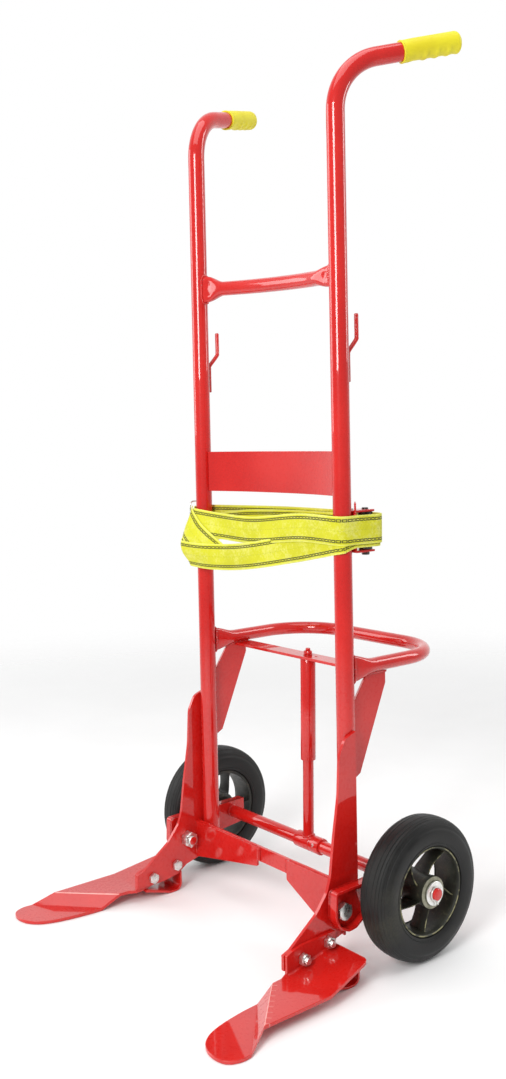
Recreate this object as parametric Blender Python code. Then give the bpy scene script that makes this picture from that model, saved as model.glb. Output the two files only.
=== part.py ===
"""Red hand truck with a sprung wheel carriage, two folded toes and a webbing winch.

Metres, +Z up, toes towards -Y, handles towards +Y, right side at +X.
"""
import math

import bmesh
import bpy
from mathutils import Vector

MM = 0.001

# Overall sizes
UPRIGHT_SPACING = 408.6 * MM
TUBE_DIAMETER = 33.2 * MM
TUBE_WALL = 2.6 * MM
HANDLE_CORNER_HEIGHT = 1574.0 * MM
HANDLE_BEND_RADIUS = 100.0 * MM
HANDLE_RISE = math.radians(13.0)
HANDLE_SPLAY = math.radians(22.6)
HANDLE_LENGTH = 243.0 * MM
UPRIGHT_FOOT_HEIGHT = 88.0 * MM
TOE_REACH = 392.0 * MM
BOW_REACH = 275.0 * MM

# Grips
GRIP_LENGTH = 116.0 * MM
GRIP_WALL = 3.6 * MM
GRIP_END_WALL = 5.0 * MM

# Frame cross pieces
CROSS_TUBE_HEIGHT = 1221.5 * MM
CROSS_TUBE_TILT = 9.5 * MM
CROSS_TUBE_BOW = 27.0 * MM
CROSS_TUBE_DIAMETER = 28.0 * MM
CROSS_TUBE_END_HEIGHT = 50.0 * MM
CROSS_TUBE_END_DEPTH = 16.0 * MM
BACK_PLATE_HEIGHT = 863.0 * MM
BACK_PLATE_WIDTH = 80.0 * MM
BACK_PLATE_THICKNESS = 4.0 * MM
BACK_PLATE_BOW = 26.0 * MM
HOOK_ROD = 8.0 * MM
HOOK_FOOT_HEIGHT = 1023.0 * MM
HOOK_KINK_HEIGHT = 1079.0 * MM
HOOK_TOP_HEIGHT = 1148.0 * MM
HOOK_OFFSET = 21.5 * MM

# Rear bow, braces and strut bar
BOW_HEIGHT = 513.0 * MM
BOW_DIAMETER = 26.0 * MM
BOW_CORNER_RADIUS = 112.0 * MM
BOW_END_HEIGHT = 48.0 * MM
BOW_END_WIDTH = 16.0 * MM
BOW_TAPER_END = 68.0 * MM
BRACE_THICKNESS = 5.0 * MM
BRACE_FOOT_HEIGHT = 313.0 * MM
BRACE_FRONT = 50.0 * MM
BRACE_REAR = 100.0 * MM
STRUT_Y = 90.0 * MM
STRUT_X = 6.0 * MM
STRUT_BAR_WIDTH = 38.0 * MM
STRUT_BAR_THICKNESS = 5.6 * MM

# Foot of the frame
SIDE_PLATE_THICKNESS = 6.0 * MM
SIDE_PLATE_TOP = 408.0 * MM
LOWER_BAR_TOP = 136.5 * MM
LOWER_BAR_DEPTH = 29.0 * MM
LOWER_BAR_THICKNESS = 6.0 * MM
GUSSET_THICKNESS = 5.0 * MM
GUSSET_KNEE_X = 150.0 * MM
# Each gusset: its inner end from the middle, then its drop below the bar at the knee and at the side plate.
GUSSETS = {"left": (21.0 * MM, 33.0 * MM, 47.0 * MM), "right": (66.0 * MM, 52.0 * MM, 62.0 * MM)}
PIVOT_Y = -52.0 * MM
PIVOT_Z = 105.0 * MM
PIVOT_BOLT_DIAMETER = 19.0 * MM
PIVOT_HEX_FLATS = 28.6 * MM

# Toes and heel skids
TOE_THICKNESS = 6.0 * MM
TOE_REAR_Y = -60.0 * MM
TOE_REAR_Z = 47.0 * MM
TOE_LEVEL_Y = -163.0 * MM
TOE_LEVEL_Z = 26.0 * MM
TOE_WIDTH = 103.5 * MM
TOE_BOLT_DIAMETER = 12.7 * MM
TOE_HEX_FLATS = 19.0 * MM
HEEL_STRIP = 4.0 * MM

# Wheel carriage
WHEEL_RADIUS = 127.0 * MM
WHEEL_WIDTH = 66.0 * MM
WHEEL_GAP = 9.0 * MM
RIM_RADIUS = 79.0 * MM
SPOKE_WIDTH = 5.6 * MM
SPOKE_DEPTH = 36.0 * MM
HUB_RADIUS = 29.0 * MM
AXLE_Y = 82.7 * MM
AXLE_DIAMETER = 20.6 * MM
AXLE_TUBE_DIAMETER = 25.0 * MM
AXLE_STUB = 47.0 * MM
ARM_THICKNESS = 5.0 * MM
ARM_DEPTH = 19.5 * MM
ARM_GAP = 3.0 * MM
ARM_BOSS_RADIUS = 14.0 * MM

# Sprung strut
STRUT_OUTER_DIAMETER = 30.0 * MM
STRUT_INNER_DIAMETER = 21.4 * MM
STRUT_STEP_HEIGHT = 292.0 * MM
STRUT_ROD_TOP = 338.0 * MM
SLEEVE_RADIUS = 16.2 * MM
SLEEVE_HALF_LENGTH = 22.0 * MM
COLLAR_RADIUS = 16.4 * MM
COLLAR_LENGTH = 26.0 * MM
SPRING_TURNS = 9
SPRING_WIRE = 3.0 * MM
SPRING_RADIUS = 9.0 * MM

# Webbing and winch
WEB_WIDTH = 52.0 * MM
WEB_THICKNESS = 2.4 * MM
WEB_UPPER_HEIGHT = 763.5 * MM
WEB_LOWER_LEFT_HEIGHT = 692.0 * MM
WEB_LOWER_RIGHT_HEIGHT = 757.0 * MM
FLAP_START_HEIGHT = 764.0 * MM
FLAP_END_HEIGHT = 706.0 * MM
FLAP_LENGTH = 86.0 * MM
WINCH_OFFSET = 1.7 * MM
WINCH_Y = 55.0 * MM
WINCH_DRUM_RADIUS = 14.0 * MM
WINCH_TOP = 798.0 * MM
WINCH_BOTTOM = 722.0 * MM
WINCH_PLATE = 4.0 * MM

# Clearances
GAP = 0.3 * MM
BORE_GAP = 0.4 * MM
AXLE_GAP = 0.7 * MM

HALF_SPACING = UPRIGHT_SPACING / 2
TUBE_RADIUS = TUBE_DIAMETER / 2
GRIP_RADIUS = TUBE_RADIUS + GRIP_WALL
PLATE_INNER_X = HALF_SPACING + TUBE_RADIUS + GAP
PLATE_OUTER_X = PLATE_INNER_X + SIDE_PLATE_THICKNESS
FLANGE_X = PLATE_OUTER_X + GAP
TOE_OUTER_X = FLANGE_X + TOE_WIDTH
ARM_INNER_X = FLANGE_X + TOE_THICKNESS + ARM_GAP
ARM_WEB_X = ARM_INNER_X + ARM_THICKNESS
WHEEL_X = ARM_INNER_X + ARM_DEPTH + WHEEL_GAP + WHEEL_WIDTH / 2
AXLE_END_X = WHEEL_X + AXLE_STUB
WINCH_X = HALF_SPACING + WINCH_OFFSET
FLAP_OFFSET = 3 * BORE_GAP + 2 * WEB_THICKNESS
FLAP_START = Vector((-HALF_SPACING - TUBE_RADIUS - 4 * MM, FLAP_START_HEIGHT))
FLAP_END = FLAP_START + Vector((FLAP_LENGTH, FLAP_END_HEIGHT - FLAP_START_HEIGHT))
STRUT_TOP = BOW_HEIGHT - BOW_DIAMETER / 2 - GAP
DEPTH_CENTRE = (BOW_REACH + BOW_DIAMETER / 2 - TOE_REACH) / 2
SIDES = 24
THIN_SIDES = 16

RED = ("red_paint", (0.62, 0.012, 0.01), 0.3, 0.0)
YELLOW = ("yellow_grip", (0.80, 0.74, 0.01), 0.5, 0.0)
WEBBING = ("webbing", (0.70, 0.80, 0.02), 0.85, 0.0)
ZINC = ("zinc", (0.62, 0.61, 0.58), 0.35, 1.0)
STEEL = ("dark_steel", (0.16, 0.16, 0.16), 0.45, 0.9)
RUBBER = ("tyre_rubber", (0.02, 0.02, 0.02), 0.75, 0.0)
CASTING = ("rim_casting", (0.035, 0.037, 0.03), 0.5, 0.2)


# ---------------------------------------------------------------- basic shapes

def makeMaterial(spec):
    name, colour, roughness, metallic = spec
    material = bpy.data.materials.get(name)
    if material is None:
        material = bpy.data.materials.new(name)
        material.use_nodes = True
        shader = material.node_tree.nodes["Principled BSDF"]
        shader.inputs["Base Color"].default_value = (*colour, 1.0)
        shader.inputs["Roughness"].default_value = roughness
        shader.inputs["Metallic"].default_value = metallic
        material.diffuse_color = (*colour, 1.0)
    return material


def finishMesh(name, mesh, material, collection, smooth=False, pivot=(0, 0, 0)):
    pivot = Vector(pivot)
    bmesh.ops.remove_doubles(mesh, verts=mesh.verts, dist=1e-7)
    bmesh.ops.recalc_face_normals(mesh, faces=mesh.faces)
    bmesh.ops.translate(mesh, verts=mesh.verts, vec=-pivot)
    data = bpy.data.meshes.new(name)
    mesh.to_mesh(data)
    mesh.free()
    data.materials.append(makeMaterial(material))
    thing = bpy.data.objects.new(name, data)
    collection.objects.link(thing)
    thing.location = pivot
    if smooth:
        data.shade_smooth()
        data.set_sharp_from_angle(angle=math.radians(35))
    return thing


def circle(radius, count=SIDES, turn=0.0):
    return [(radius * math.cos(turn + 2 * math.pi * i / count),
             radius * math.sin(turn + 2 * math.pi * i / count)) for i in range(count)]


def hexagon(flats, count=SIDES):
    points = []
    for i in range(count):
        angle = 2 * math.pi * i / count
        local = (angle + math.pi / 6) % (math.pi / 3) - math.pi / 6
        reach = flats / 2 / math.cos(local)
        points.append((reach * math.cos(angle), reach * math.sin(angle)))
    return points


def oval(width, height, count=SIDES):
    """Rounded section that tends to a flat oblong as height outgrows width."""
    power = 2 / (2 + 2.2 * min(1.0, abs(height - width) / max(height, width)))
    points = []
    for i in range(count):
        angle = 2 * math.pi * i / count
        c, s = math.cos(angle), math.sin(angle)
        points.append((width / 2 * math.copysign(abs(c) ** power, c),
                       height / 2 * math.copysign(abs(s) ** power, s)))
    return points


def joinRings(mesh, rings, closed):
    """Skin a list of equal rings; open ends are capped, a closed chain is not."""
    made = [[mesh.verts.new(point) for point in ring] for ring in rings]
    count = len(made[0])
    pairs = len(made) if closed else len(made) - 1
    for r in range(pairs):
        low, high = made[r], made[(r + 1) % len(made)]
        for i in range(count):
            j = (i + 1) % count
            mesh.faces.new((low[i], low[j], high[j], high[i]))
    if not closed:
        mesh.faces.new(made[0][::-1])
        mesh.faces.new(made[-1])


def sweepRings(path, sections, closed=False, up=(0, 0, 1)):
    """Rings of 2-D sections (across, upward) carried along a path."""
    path = [Vector(p) for p in path]
    rings = []
    lastSide = None
    for i, point in enumerate(path):
        if closed:
            ahead, behind = path[(i + 1) % len(path)], path[i - 1]
        else:
            ahead, behind = path[min(i + 1, len(path) - 1)], path[max(i - 1, 0)]
        along = (ahead - behind).normalized()
        side = along.cross(Vector(up))
        if side.length < 1e-3:
            side = lastSide - along * lastSide.dot(along) if lastSide else Vector((1, 0, 0))
        side.normalize()
        if lastSide and side.dot(lastSide) < 0:
            side = -side
        lastSide = side
        lift = side.cross(along).normalized()
        stretch = 1.0
        if not closed and 0 < i < len(path) - 1 or closed:
            turn = (point - behind).normalized().dot((ahead - point).normalized())
            stretch = 1 / math.sqrt(max(0.5, (1 + turn) / 2))
        section = sections[i] if isinstance(sections[0], list) else sections
        rings.append([point + side * a * stretch + lift * b for a, b in section])
    return rings


def sweep(path, sections, closed=False, up=(0, 0, 1)):
    mesh = bmesh.new()
    joinRings(mesh, sweepRings(path, sections, closed, up), closed)
    return mesh


def sweepTube(path, outside, inside, up=(0, 0, 1)):
    """A tube with both ends open: the outer skin runs on into the inner one."""
    mesh = bmesh.new()
    joinRings(mesh, sweepRings(path, outside, up=up) + sweepRings(path, inside, up=up)[::-1], closed=True)
    return mesh


def turned(steps, centre, axis="X", count=SIDES, closed=False, flats=None):
    """Rings (distance along, radius) about an axis; flats marks hexagonal steps."""
    mesh = bmesh.new()
    rings = []
    for n, (along, radius) in enumerate(steps):
        outline = hexagon(radius * 2, count) if flats and n in flats else circle(radius, count)
        ring = []
        for a, b in outline:
            offset = {"X": (along, a, b), "Y": (b, along, a), "Z": (a, b, along)}[axis]
            ring.append(Vector(centre) + Vector(offset))
        rings.append(ring)
    joinRings(mesh, rings, closed)
    return mesh


def plate(outline, low, high, axis="X", holes=()):
    """Flat plate: an outline with holes, carried from low to high along an axis."""
    mesh = bmesh.new()

    def place(point, level):
        a, b = point
        return {"X": (level, a, b), "Y": (a, level, b), "Z": (a, b, level)}[axis]

    edges = []
    for loop in [outline, *holes]:
        verts = [mesh.verts.new(place(p, low)) for p in loop]
        edges += [mesh.edges.new((verts[i], verts[(i + 1) % len(verts)])) for i in range(len(verts))]
    filled = bmesh.ops.triangle_fill(mesh, use_beauty=True, use_dissolve=False, edges=edges)
    faces = [f for f in filled["geom"] if isinstance(f, bmesh.types.BMFace)]
    grown = bmesh.ops.extrude_face_region(mesh, geom=faces, use_keep_orig=True)
    moved = [v for v in grown["geom"] if isinstance(v, bmesh.types.BMVert)]
    shift = Vector(place((0, 0), high)) - Vector(place((0, 0), low))
    bmesh.ops.translate(mesh, verts=moved, vec=shift)
    return mesh


def roundHole(y, z, radius, count=20):
    return [(y + a, z + b) for a, b in circle(radius, count)]


def rounded(outline, radii, steps=5):
    """Round the named corners of an outline: radii maps corner number to radius."""
    points = []
    for i, corner in enumerate(outline):
        corner = Vector(corner)
        radius = radii.get(i, 0)
        if not radius:
            points.append(tuple(corner))
            continue
        before = (Vector(outline[i - 1]) - corner)
        after = (Vector(outline[(i + 1) % len(outline)]) - corner)
        half = before.angle(after) / 2
        run = min(radius / math.tan(half), 0.48 * before.length, 0.48 * after.length)
        start = corner + before.normalized() * run
        end = corner + after.normalized() * run
        for k in range(steps + 1):
            t = k / steps
            points.append(tuple((1 - t) ** 2 * start + 2 * t * (1 - t) * corner + t ** 2 * end))
    return points


def cutOrJoin(thing, others, operation, cutters):
    for number, other in enumerate(others):
        for collection in list(other.users_collection):
            collection.objects.unlink(other)
        cutters.objects.link(other)
        other.hide_render = True
        other.display_type = "WIRE"
        modifier = thing.modifiers.new(f"{operation.lower()}_{number}", "BOOLEAN")
        modifier.operation = operation
        modifier.solver = "EXACT"
        modifier.object = other


# ---------------------------------------------------------------- frame

def handleDirection(side):
    flat = Vector((side * math.sin(HANDLE_SPLAY), math.cos(HANDLE_SPLAY), 0))
    return flat * math.cos(HANDLE_RISE) + Vector((0, 0, math.sin(HANDLE_RISE)))


def handleCorner(side):
    return Vector((side * HALF_SPACING, 0, HANDLE_CORNER_HEIGHT))


def makeUpright(side, name, root):
    corner = handleCorner(side)
    direction = handleDirection(side)
    down = Vector((0, 0, -1))
    half = down.angle(direction) / 2
    run = HANDLE_BEND_RADIUS / math.tan(half)
    centre = corner + (down + direction).normalized() * HANDLE_BEND_RADIUS / math.sin(half)
    start, end = corner + down * run, corner + direction * run
    path = [Vector((corner.x, 0, UPRIGHT_FOOT_HEIGHT))]
    steps = 12
    for k in range(steps + 1):
        spoke = (start - centre).normalized().slerp((end - centre).normalized(), k / steps)
        path.append(centre + spoke * HANDLE_BEND_RADIUS)
    path.append(corner + direction * (HANDLE_LENGTH - GRIP_END_WALL - GAP))
    plane = (math.cos(HANDLE_SPLAY), -side * math.sin(HANDLE_SPLAY), 0)
    tube = sweepTube(path, circle(TUBE_RADIUS, 20), circle(TUBE_RADIUS - TUBE_WALL, 20), up=plane)
    return finishMesh(name, tube, RED, root, smooth=True)


def makeGrip(side, name, root):
    direction = handleDirection(side)
    end = handleCorner(side) + direction * HANDLE_LENGTH
    bore = TUBE_RADIUS + GAP
    steps = [(-GRIP_LENGTH, bore), (-GRIP_LENGTH, GRIP_RADIUS + 0.6 * MM), (-GRIP_LENGTH + 4 * MM, GRIP_RADIUS),
             (-8 * MM, GRIP_RADIUS), (-2 * MM, GRIP_RADIUS - 3 * MM), (0, GRIP_RADIUS - 9 * MM)]
    inside = [(-GRIP_END_WALL, bore), (-GRIP_LENGTH, bore)]
    across = direction.cross(Vector((0, 0, 1))).normalized()
    lift = across.cross(direction)
    mesh = bmesh.new()
    rings = []
    for along, radius in [inside[0]] + [inside[1]] + steps[1:]:
        rings.append([end + direction * along + across * a + lift * b for a, b in circle(radius)])
    joinRings(mesh, rings, closed=False)
    return finishMesh(name, mesh, YELLOW, root, smooth=True)


def makeCrossTube(name, root):
    reach = HALF_SPACING - TUBE_RADIUS - GAP
    path, outside, inside = [], [], []
    steps = 16
    for k in range(steps + 1):
        t = -1 + 2 * k / steps
        path.append((reach * t, CROSS_TUBE_BOW * (1 - t * t), CROSS_TUBE_HEIGHT - CROSS_TUBE_TILT * t))
        squash = max(0.0, (abs(t) - 0.7) / 0.3)
        depth = CROSS_TUBE_DIAMETER + squash * (CROSS_TUBE_END_DEPTH - CROSS_TUBE_DIAMETER)
        height = CROSS_TUBE_DIAMETER + squash * (CROSS_TUBE_END_HEIGHT - CROSS_TUBE_DIAMETER)
        outside.append(oval(depth, height, THIN_SIDES))
        inside.append(oval(depth - 2 * TUBE_WALL, height - 2 * TUBE_WALL, THIN_SIDES))
    path[0] = (-reach, *path[1][1:])
    path[-1] = (reach, *path[-2][1:])
    return finishMesh(name, sweepTube(path, outside, inside), RED, root, smooth=True)


def makeBackPlate(name, root):
    reach = HALF_SPACING - TUBE_RADIUS - GAP
    front, back = [], []
    steps = 16
    for k in range(steps + 1):
        t = -1 + 2 * k / steps
        y = BACK_PLATE_BOW * (1 - abs(t) ** 2.4)
        front.append((reach * t, y))
        back.append((reach * t, y + BACK_PLATE_THICKNESS))
    low = BACK_PLATE_HEIGHT - BACK_PLATE_WIDTH / 2
    mesh = plate(front + back[::-1], low, low + BACK_PLATE_WIDTH, axis="Z")
    return finishMesh(name, mesh, RED, root, smooth=True)


def makeHook(side, name, root):
    x = side * HALF_SPACING
    y = TUBE_RADIUS + GAP + HOOK_ROD / 2
    kink = HOOK_OFFSET
    path = [(x, y, HOOK_FOOT_HEIGHT), (x, y, HOOK_KINK_HEIGHT - 4 * MM), (x, y + 2.5 * MM, HOOK_KINK_HEIGHT + 2 * MM),
            (x, y + kink - 2.5 * MM, HOOK_KINK_HEIGHT + kink - 2 * MM), (x, y + kink, HOOK_KINK_HEIGHT + kink + 4 * MM),
            (x, y + kink, HOOK_TOP_HEIGHT)]
    return finishMesh(name, sweep(path, circle(HOOK_ROD / 2, 12), up=(1, 0, 0)), RED, root, smooth=True)


def bowHalfHeight(y):
    start = TUBE_RADIUS + GAP
    t = min(1.0, max(0.0, (y - start) / (BOW_TAPER_END - start)))
    return (BOW_END_HEIGHT + (BOW_DIAMETER - BOW_END_HEIGHT) * t) / 2


def makeBow(name, root):
    start = TUBE_RADIUS + GAP
    straight = BOW_REACH - BOW_CORNER_RADIUS
    right = [(HALF_SPACING, start), (HALF_SPACING, (start + BOW_TAPER_END) / 2), (HALF_SPACING, BOW_TAPER_END),
             (HALF_SPACING, straight)]
    steps = 10
    for k in range(1, steps + 1):
        angle = math.pi / 2 * k / steps
        right.append((HALF_SPACING - BOW_CORNER_RADIUS * (1 - math.cos(angle)),
                      straight + BOW_CORNER_RADIUS * math.sin(angle)))
    flat = right + [(-x, y) for x, y in right[::-1]]
    path = [(x, y, BOW_HEIGHT) for x, y in flat]
    outside, inside = [], []
    for x, y in flat:
        height = 2 * bowHalfHeight(y)
        share = (height - BOW_DIAMETER) / (BOW_END_HEIGHT - BOW_DIAMETER)
        width = BOW_DIAMETER + share * (BOW_END_WIDTH - BOW_DIAMETER)
        outside.append(oval(width, height, THIN_SIDES))
        inside.append(oval(width - 2 * TUBE_WALL, height - 2 * TUBE_WALL, THIN_SIDES))
    return finishMesh(name, sweepTube(path, outside, inside), RED, root, smooth=True)


def makeBrace(side, name, root):
    start = TUBE_RADIUS + GAP
    under = BOW_HEIGHT - GAP
    front, rear = BRACE_FRONT, BRACE_REAR
    outline = [(start, BRACE_FOOT_HEIGHT), (start + 16 * MM, BRACE_FOOT_HEIGHT + 9 * MM),
               (rear, BRACE_FOOT_HEIGHT + 164 * MM), (rear, under - bowHalfHeight(rear)),
               (front, under - bowHalfHeight(front)), (start + 9 * MM, BRACE_FOOT_HEIGHT + 149 * MM),
               (start, BRACE_FOOT_HEIGHT + 137 * MM)]
    x = side * HALF_SPACING
    mesh = plate(outline, x - BRACE_THICKNESS / 2, x + BRACE_THICKNESS / 2)
    return finishMesh(name, mesh, RED, root)


def makeStrutBar(name, root):
    reach = HALF_SPACING - BRACE_THICKNESS / 2 - GAP
    low, high = STRUT_Y - STRUT_BAR_WIDTH / 2, STRUT_Y + STRUT_BAR_WIDTH / 2
    outline = [(-reach, low), (reach, low), (reach, high), (-reach, high)]
    holes = [roundHole(STRUT_X, STRUT_Y, 6.4 * MM), roundHole(STRUT_X + 24 * MM, STRUT_Y, 3 * MM, 12)]
    mesh = plate(outline, STRUT_TOP - STRUT_BAR_THICKNESS, STRUT_TOP, axis="Z", holes=holes)
    return finishMesh(name, mesh, RED, root)


# ---------------------------------------------------------------- foot of the frame

def toeBoltPlaces():
    slope = (TOE_REAR_Z - TOE_LEVEL_Z) / (TOE_REAR_Y - TOE_LEVEL_Y)
    places = []
    for y in (-138 * MM, -80 * MM):
        places.append((y, TOE_LEVEL_Z + slope * (y - TOE_LEVEL_Y) + TOE_HEX_FLATS * 0.5 + 3.4 * MM))
    return places


def makeSidePlate(side, name, root):
    top = SIDE_PLATE_TOP
    outline = [(2 * MM, top), (-24 * MM, top - 10 * MM), (-38 * MM, top - 38 * MM), (-42 * MM, 300 * MM),
               (-55 * MM, 225 * MM), (-64 * MM, 160 * MM), (-72 * MM, 138 * MM), (-98 * MM, 106 * MM),
               (-160 * MM, 62 * MM), (-175 * MM, 57 * MM), (-175 * MM, 31 * MM), (-112 * MM, 30 * MM),
               (-76 * MM, 36 * MM), (-55 * MM, 50 * MM), (-25 * MM, 58 * MM), (2 * MM, 70 * MM)]
    outline = rounded(outline, {1: 14 * MM, 5: 12 * MM, 6: 14 * MM, 7: 20 * MM})
    holes = [roundHole(PIVOT_Y, PIVOT_Z, PIVOT_BOLT_DIAMETER / 2 + BORE_GAP, 24)]
    holes += [roundHole(y, z, TOE_BOLT_DIAMETER / 2 + BORE_GAP, 20) for y, z in toeBoltPlaces()]
    mesh = plate(outline, side * PLATE_INNER_X, side * PLATE_OUTER_X, holes=holes)
    return finishMesh(name, mesh, RED, root)


def makeLowerBar(name, root):
    reach = PLATE_INNER_X - GAP
    front = -TUBE_RADIUS - GAP - LOWER_BAR_THICKNESS
    low = LOWER_BAR_TOP - LOWER_BAR_DEPTH
    outline = [(-reach, low), (reach, low), (reach, LOWER_BAR_TOP), (-reach, LOWER_BAR_TOP)]
    mesh = plate(outline, front, front + LOWER_BAR_THICKNESS, axis="Y")
    return finishMesh(name, mesh, RED, root)


def makeGusset(word, side, name, root):
    inner, kneeDrop, footDrop = GUSSETS[word]
    reach, inner = side * (PLATE_INNER_X - GAP), side * inner
    back = -TUBE_RADIUS - 2 * GAP - LOWER_BAR_THICKNESS
    low = LOWER_BAR_TOP - LOWER_BAR_DEPTH
    outline = [(reach, LOWER_BAR_TOP), (inner, LOWER_BAR_TOP), (inner, low - 9 * MM),
               (side * GUSSET_KNEE_X, low - kneeDrop), (reach, low - footDrop)]
    mesh = plate(outline, back - GUSSET_THICKNESS, back, axis="Y")
    return finishMesh(name, mesh, RED, root)


def toeDeck(side):
    """Top skin of the folded toe: corners by name, and the round tip of its paddle."""
    inner, outer = FLANGE_X, TOE_OUTER_X
    rear, high, floor = TOE_REAR_Y, TOE_LEVEL_Z, TOE_THICKNESS
    corners = {
        "rearIn": (inner, rear, TOE_REAR_Z), "rearOutA": (outer - 27 * MM, rear, TOE_REAR_Z),
        "rearOutB": (outer - 19 * MM, rear - 4 * MM, TOE_REAR_Z - 0.8 * MM),
        "rearOutC": (outer - 15 * MM, rear - 11 * MM, TOE_REAR_Z - 2.2 * MM),
        "levelIn": (inner, TOE_LEVEL_Y, high), "levelOut": (outer, TOE_LEVEL_Y, high),
        "flangeEnd": (inner, -174 * MM, high), "notch": (inner + 9 * MM, -188 * MM, high),
        "foldIn": (inner + 9 * MM, -207 * MM, high), "foldOut": (outer, -304 * MM, high),
        "dropIn": (inner + 15 * MM, -246 * MM, floor), "dropOut": (outer + 19 * MM, -345 * MM, floor),
    }
    tip = [(20, -362), (14, -379), (4, -388), (-12, -392), (-32, -390), (-50, -381), (-64, -365), (-73, -345),
           (-80, -318), (-86, -280)]
    grow = TOE_REACH / 392
    tip = [(outer + x * MM, y * grow, floor) for x, y in tip]
    return {key: (side * p[0], p[1], p[2]) for key, p in corners.items()}, [(side * p[0], p[1], p[2]) for p in tip]


def makeToe(side, name, root, cutters):
    corners, tip = toeDeck(side)
    mesh = bmesh.new()
    verts = {key: mesh.verts.new(p) for key, p in corners.items()}
    tipVerts = [mesh.verts.new(p) for p in tip]
    for words in ("rearIn levelIn levelOut rearOutC rearOutB rearOutA",
                  "levelIn flangeEnd notch foldIn foldOut levelOut", "foldIn dropIn dropOut foldOut"):
        mesh.faces.new([verts[word] for word in words.split()])
    mesh.faces.new([verts["dropIn"]] + tipVerts[::-1] + [verts["dropOut"]])
    grown = bmesh.ops.extrude_face_region(mesh, geom=mesh.faces[:], use_keep_orig=True)
    moved = [v for v in grown["geom"] if isinstance(v, bmesh.types.BMVert)]
    bmesh.ops.translate(mesh, verts=moved, vec=(0, 0, -TOE_THICKNESS))
    toe = finishMesh(name, mesh, RED, root)

    sunk = TOE_THICKNESS / 2
    upright = [(TOE_REAR_Y, TOE_REAR_Z - sunk), (TOE_LEVEL_Y, TOE_LEVEL_Z - sunk), (-173 * MM, TOE_LEVEL_Z - sunk),
               (-173 * MM, TOE_LEVEL_Z + 31 * MM), (TOE_LEVEL_Y, TOE_LEVEL_Z + 36 * MM),
               (-140 * MM, TOE_LEVEL_Z + 41 * MM), (TOE_REAR_Y, TOE_REAR_Z + 22 * MM)]
    inner = side * (FLANGE_X + 0.02 * MM)
    flange = finishMesh(f"{name}_flange", plate(upright, inner, side * (FLANGE_X + TOE_THICKNESS)), RED, root)
    cutOrJoin(toe, [flange], "UNION", cutters)
    reach = 12 * MM
    steps = [(-reach, TOE_BOLT_DIAMETER / 2 + BORE_GAP), (reach, TOE_BOLT_DIAMETER / 2 + BORE_GAP)]
    drills = [finishMesh(f"{name}_drill_{number}", turned(steps, (side * FLANGE_X, *place), count=20), RED, root)
              for number, place in enumerate(toeBoltPlaces())]
    cutOrJoin(toe, drills, "DIFFERENCE", cutters)
    return toe


def makeHeel(side, name, root):
    slope = (TOE_REAR_Z - TOE_LEVEL_Z) / (TOE_REAR_Y - TOE_LEVEL_Y)

    def underside(y):
        drop = TOE_THICKNESS / math.cos(math.atan(slope)) + GAP
        return TOE_LEVEL_Z + slope * (y - TOE_LEVEL_Y) - drop

    t = HEEL_STRIP
    rear, front = -66 * MM, -150 * MM
    outer = [(rear, underside(rear)), (rear, 14 * MM), (rear - 2 * MM, 7 * MM), (rear - 7 * MM, 2 * MM),
             (rear - 14 * MM, 0), (rear - 28 * MM, 0), (front - t, underside(front - t) - t), (front - t, underside(front - t))]
    inner = [(front, underside(front)), (rear - 28 * MM, t), (rear - 14 * MM, t), (rear - 8 * MM, 6 * MM),
             (rear - t, 11 * MM), (rear - t, underside(rear - t))]
    low = FLANGE_X - SIDE_PLATE_THICKNESS + 1 * MM
    mesh = plate(outer + inner, side * low, side * (TOE_OUTER_X - 33 * MM))
    return finishMesh(name, mesh, RED, root)


def makeBolt(name, root, side, place, shank, flats, headX, headThickness, tipX, material=ZINC):
    """Hexagon bolt along X: head starts at headX and grows away from tipX."""
    y, z = place
    away = 1 if headX > tipX else -1
    steps = [(side * (headX + away * headThickness), flats * 0.40), (side * (headX + away * headThickness), flats * 0.44),
             (side * (headX + away * headThickness * 0.8), flats / 2), (side * headX, flats / 2),
             (side * headX, shank / 2), (side * (tipX + away * 1.2 * MM), shank / 2), (side * tipX, shank / 2 - 1 * MM)]
    mesh = turned(steps, (0, y, z), flats={2, 3})
    return finishMesh(name, mesh, material, root, smooth=True)


def makeNut(name, root, side, place, shank, flats, lowX, highX):
    y, z = place
    bore = shank / 2 + GAP
    bevel = 0.12 * (highX - lowX)
    steps = [(side * lowX, bore), (side * lowX, flats * 0.46), (side * (lowX + bevel), flats / 2),
             (side * (highX - bevel), flats / 2), (side * highX, flats * 0.46), (side * highX, bore)]
    mesh = turned(steps, (0, y, z), closed=True, flats={2, 3})
    return finishMesh(name, mesh, ZINC, root, smooth=True)


def makeFasteners(side, word, root):
    for number, place in enumerate(toeBoltPlaces()):
        where = ("front", "rear")[number]
        makeBolt(f"toe_bolt_{where}_{word}", root, side, place, TOE_BOLT_DIAMETER, TOE_HEX_FLATS,
                 PLATE_INNER_X - GAP, 8 * MM, FLANGE_X + TOE_THICKNESS + 17 * MM)
        start = FLANGE_X + TOE_THICKNESS + 2 * GAP
        makeNut(f"toe_nut_{where}_{word}", root, side, place, TOE_BOLT_DIAMETER, TOE_HEX_FLATS,
                start, start + 11 * MM)
    place = (PIVOT_Y, PIVOT_Z)
    makeBolt(f"pivot_bolt_{word}", root, side, place, PIVOT_BOLT_DIAMETER, PIVOT_HEX_FLATS,
             ARM_WEB_X + GAP, 12 * MM, PLATE_INNER_X - 23 * MM)
    makeNut(f"pivot_nut_{word}", root, side, place, PIVOT_BOLT_DIAMETER, PIVOT_HEX_FLATS,
            PLATE_INNER_X - GAP - 18 * MM, PLATE_INNER_X - GAP)


# ---------------------------------------------------------------- wheel carriage

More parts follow.
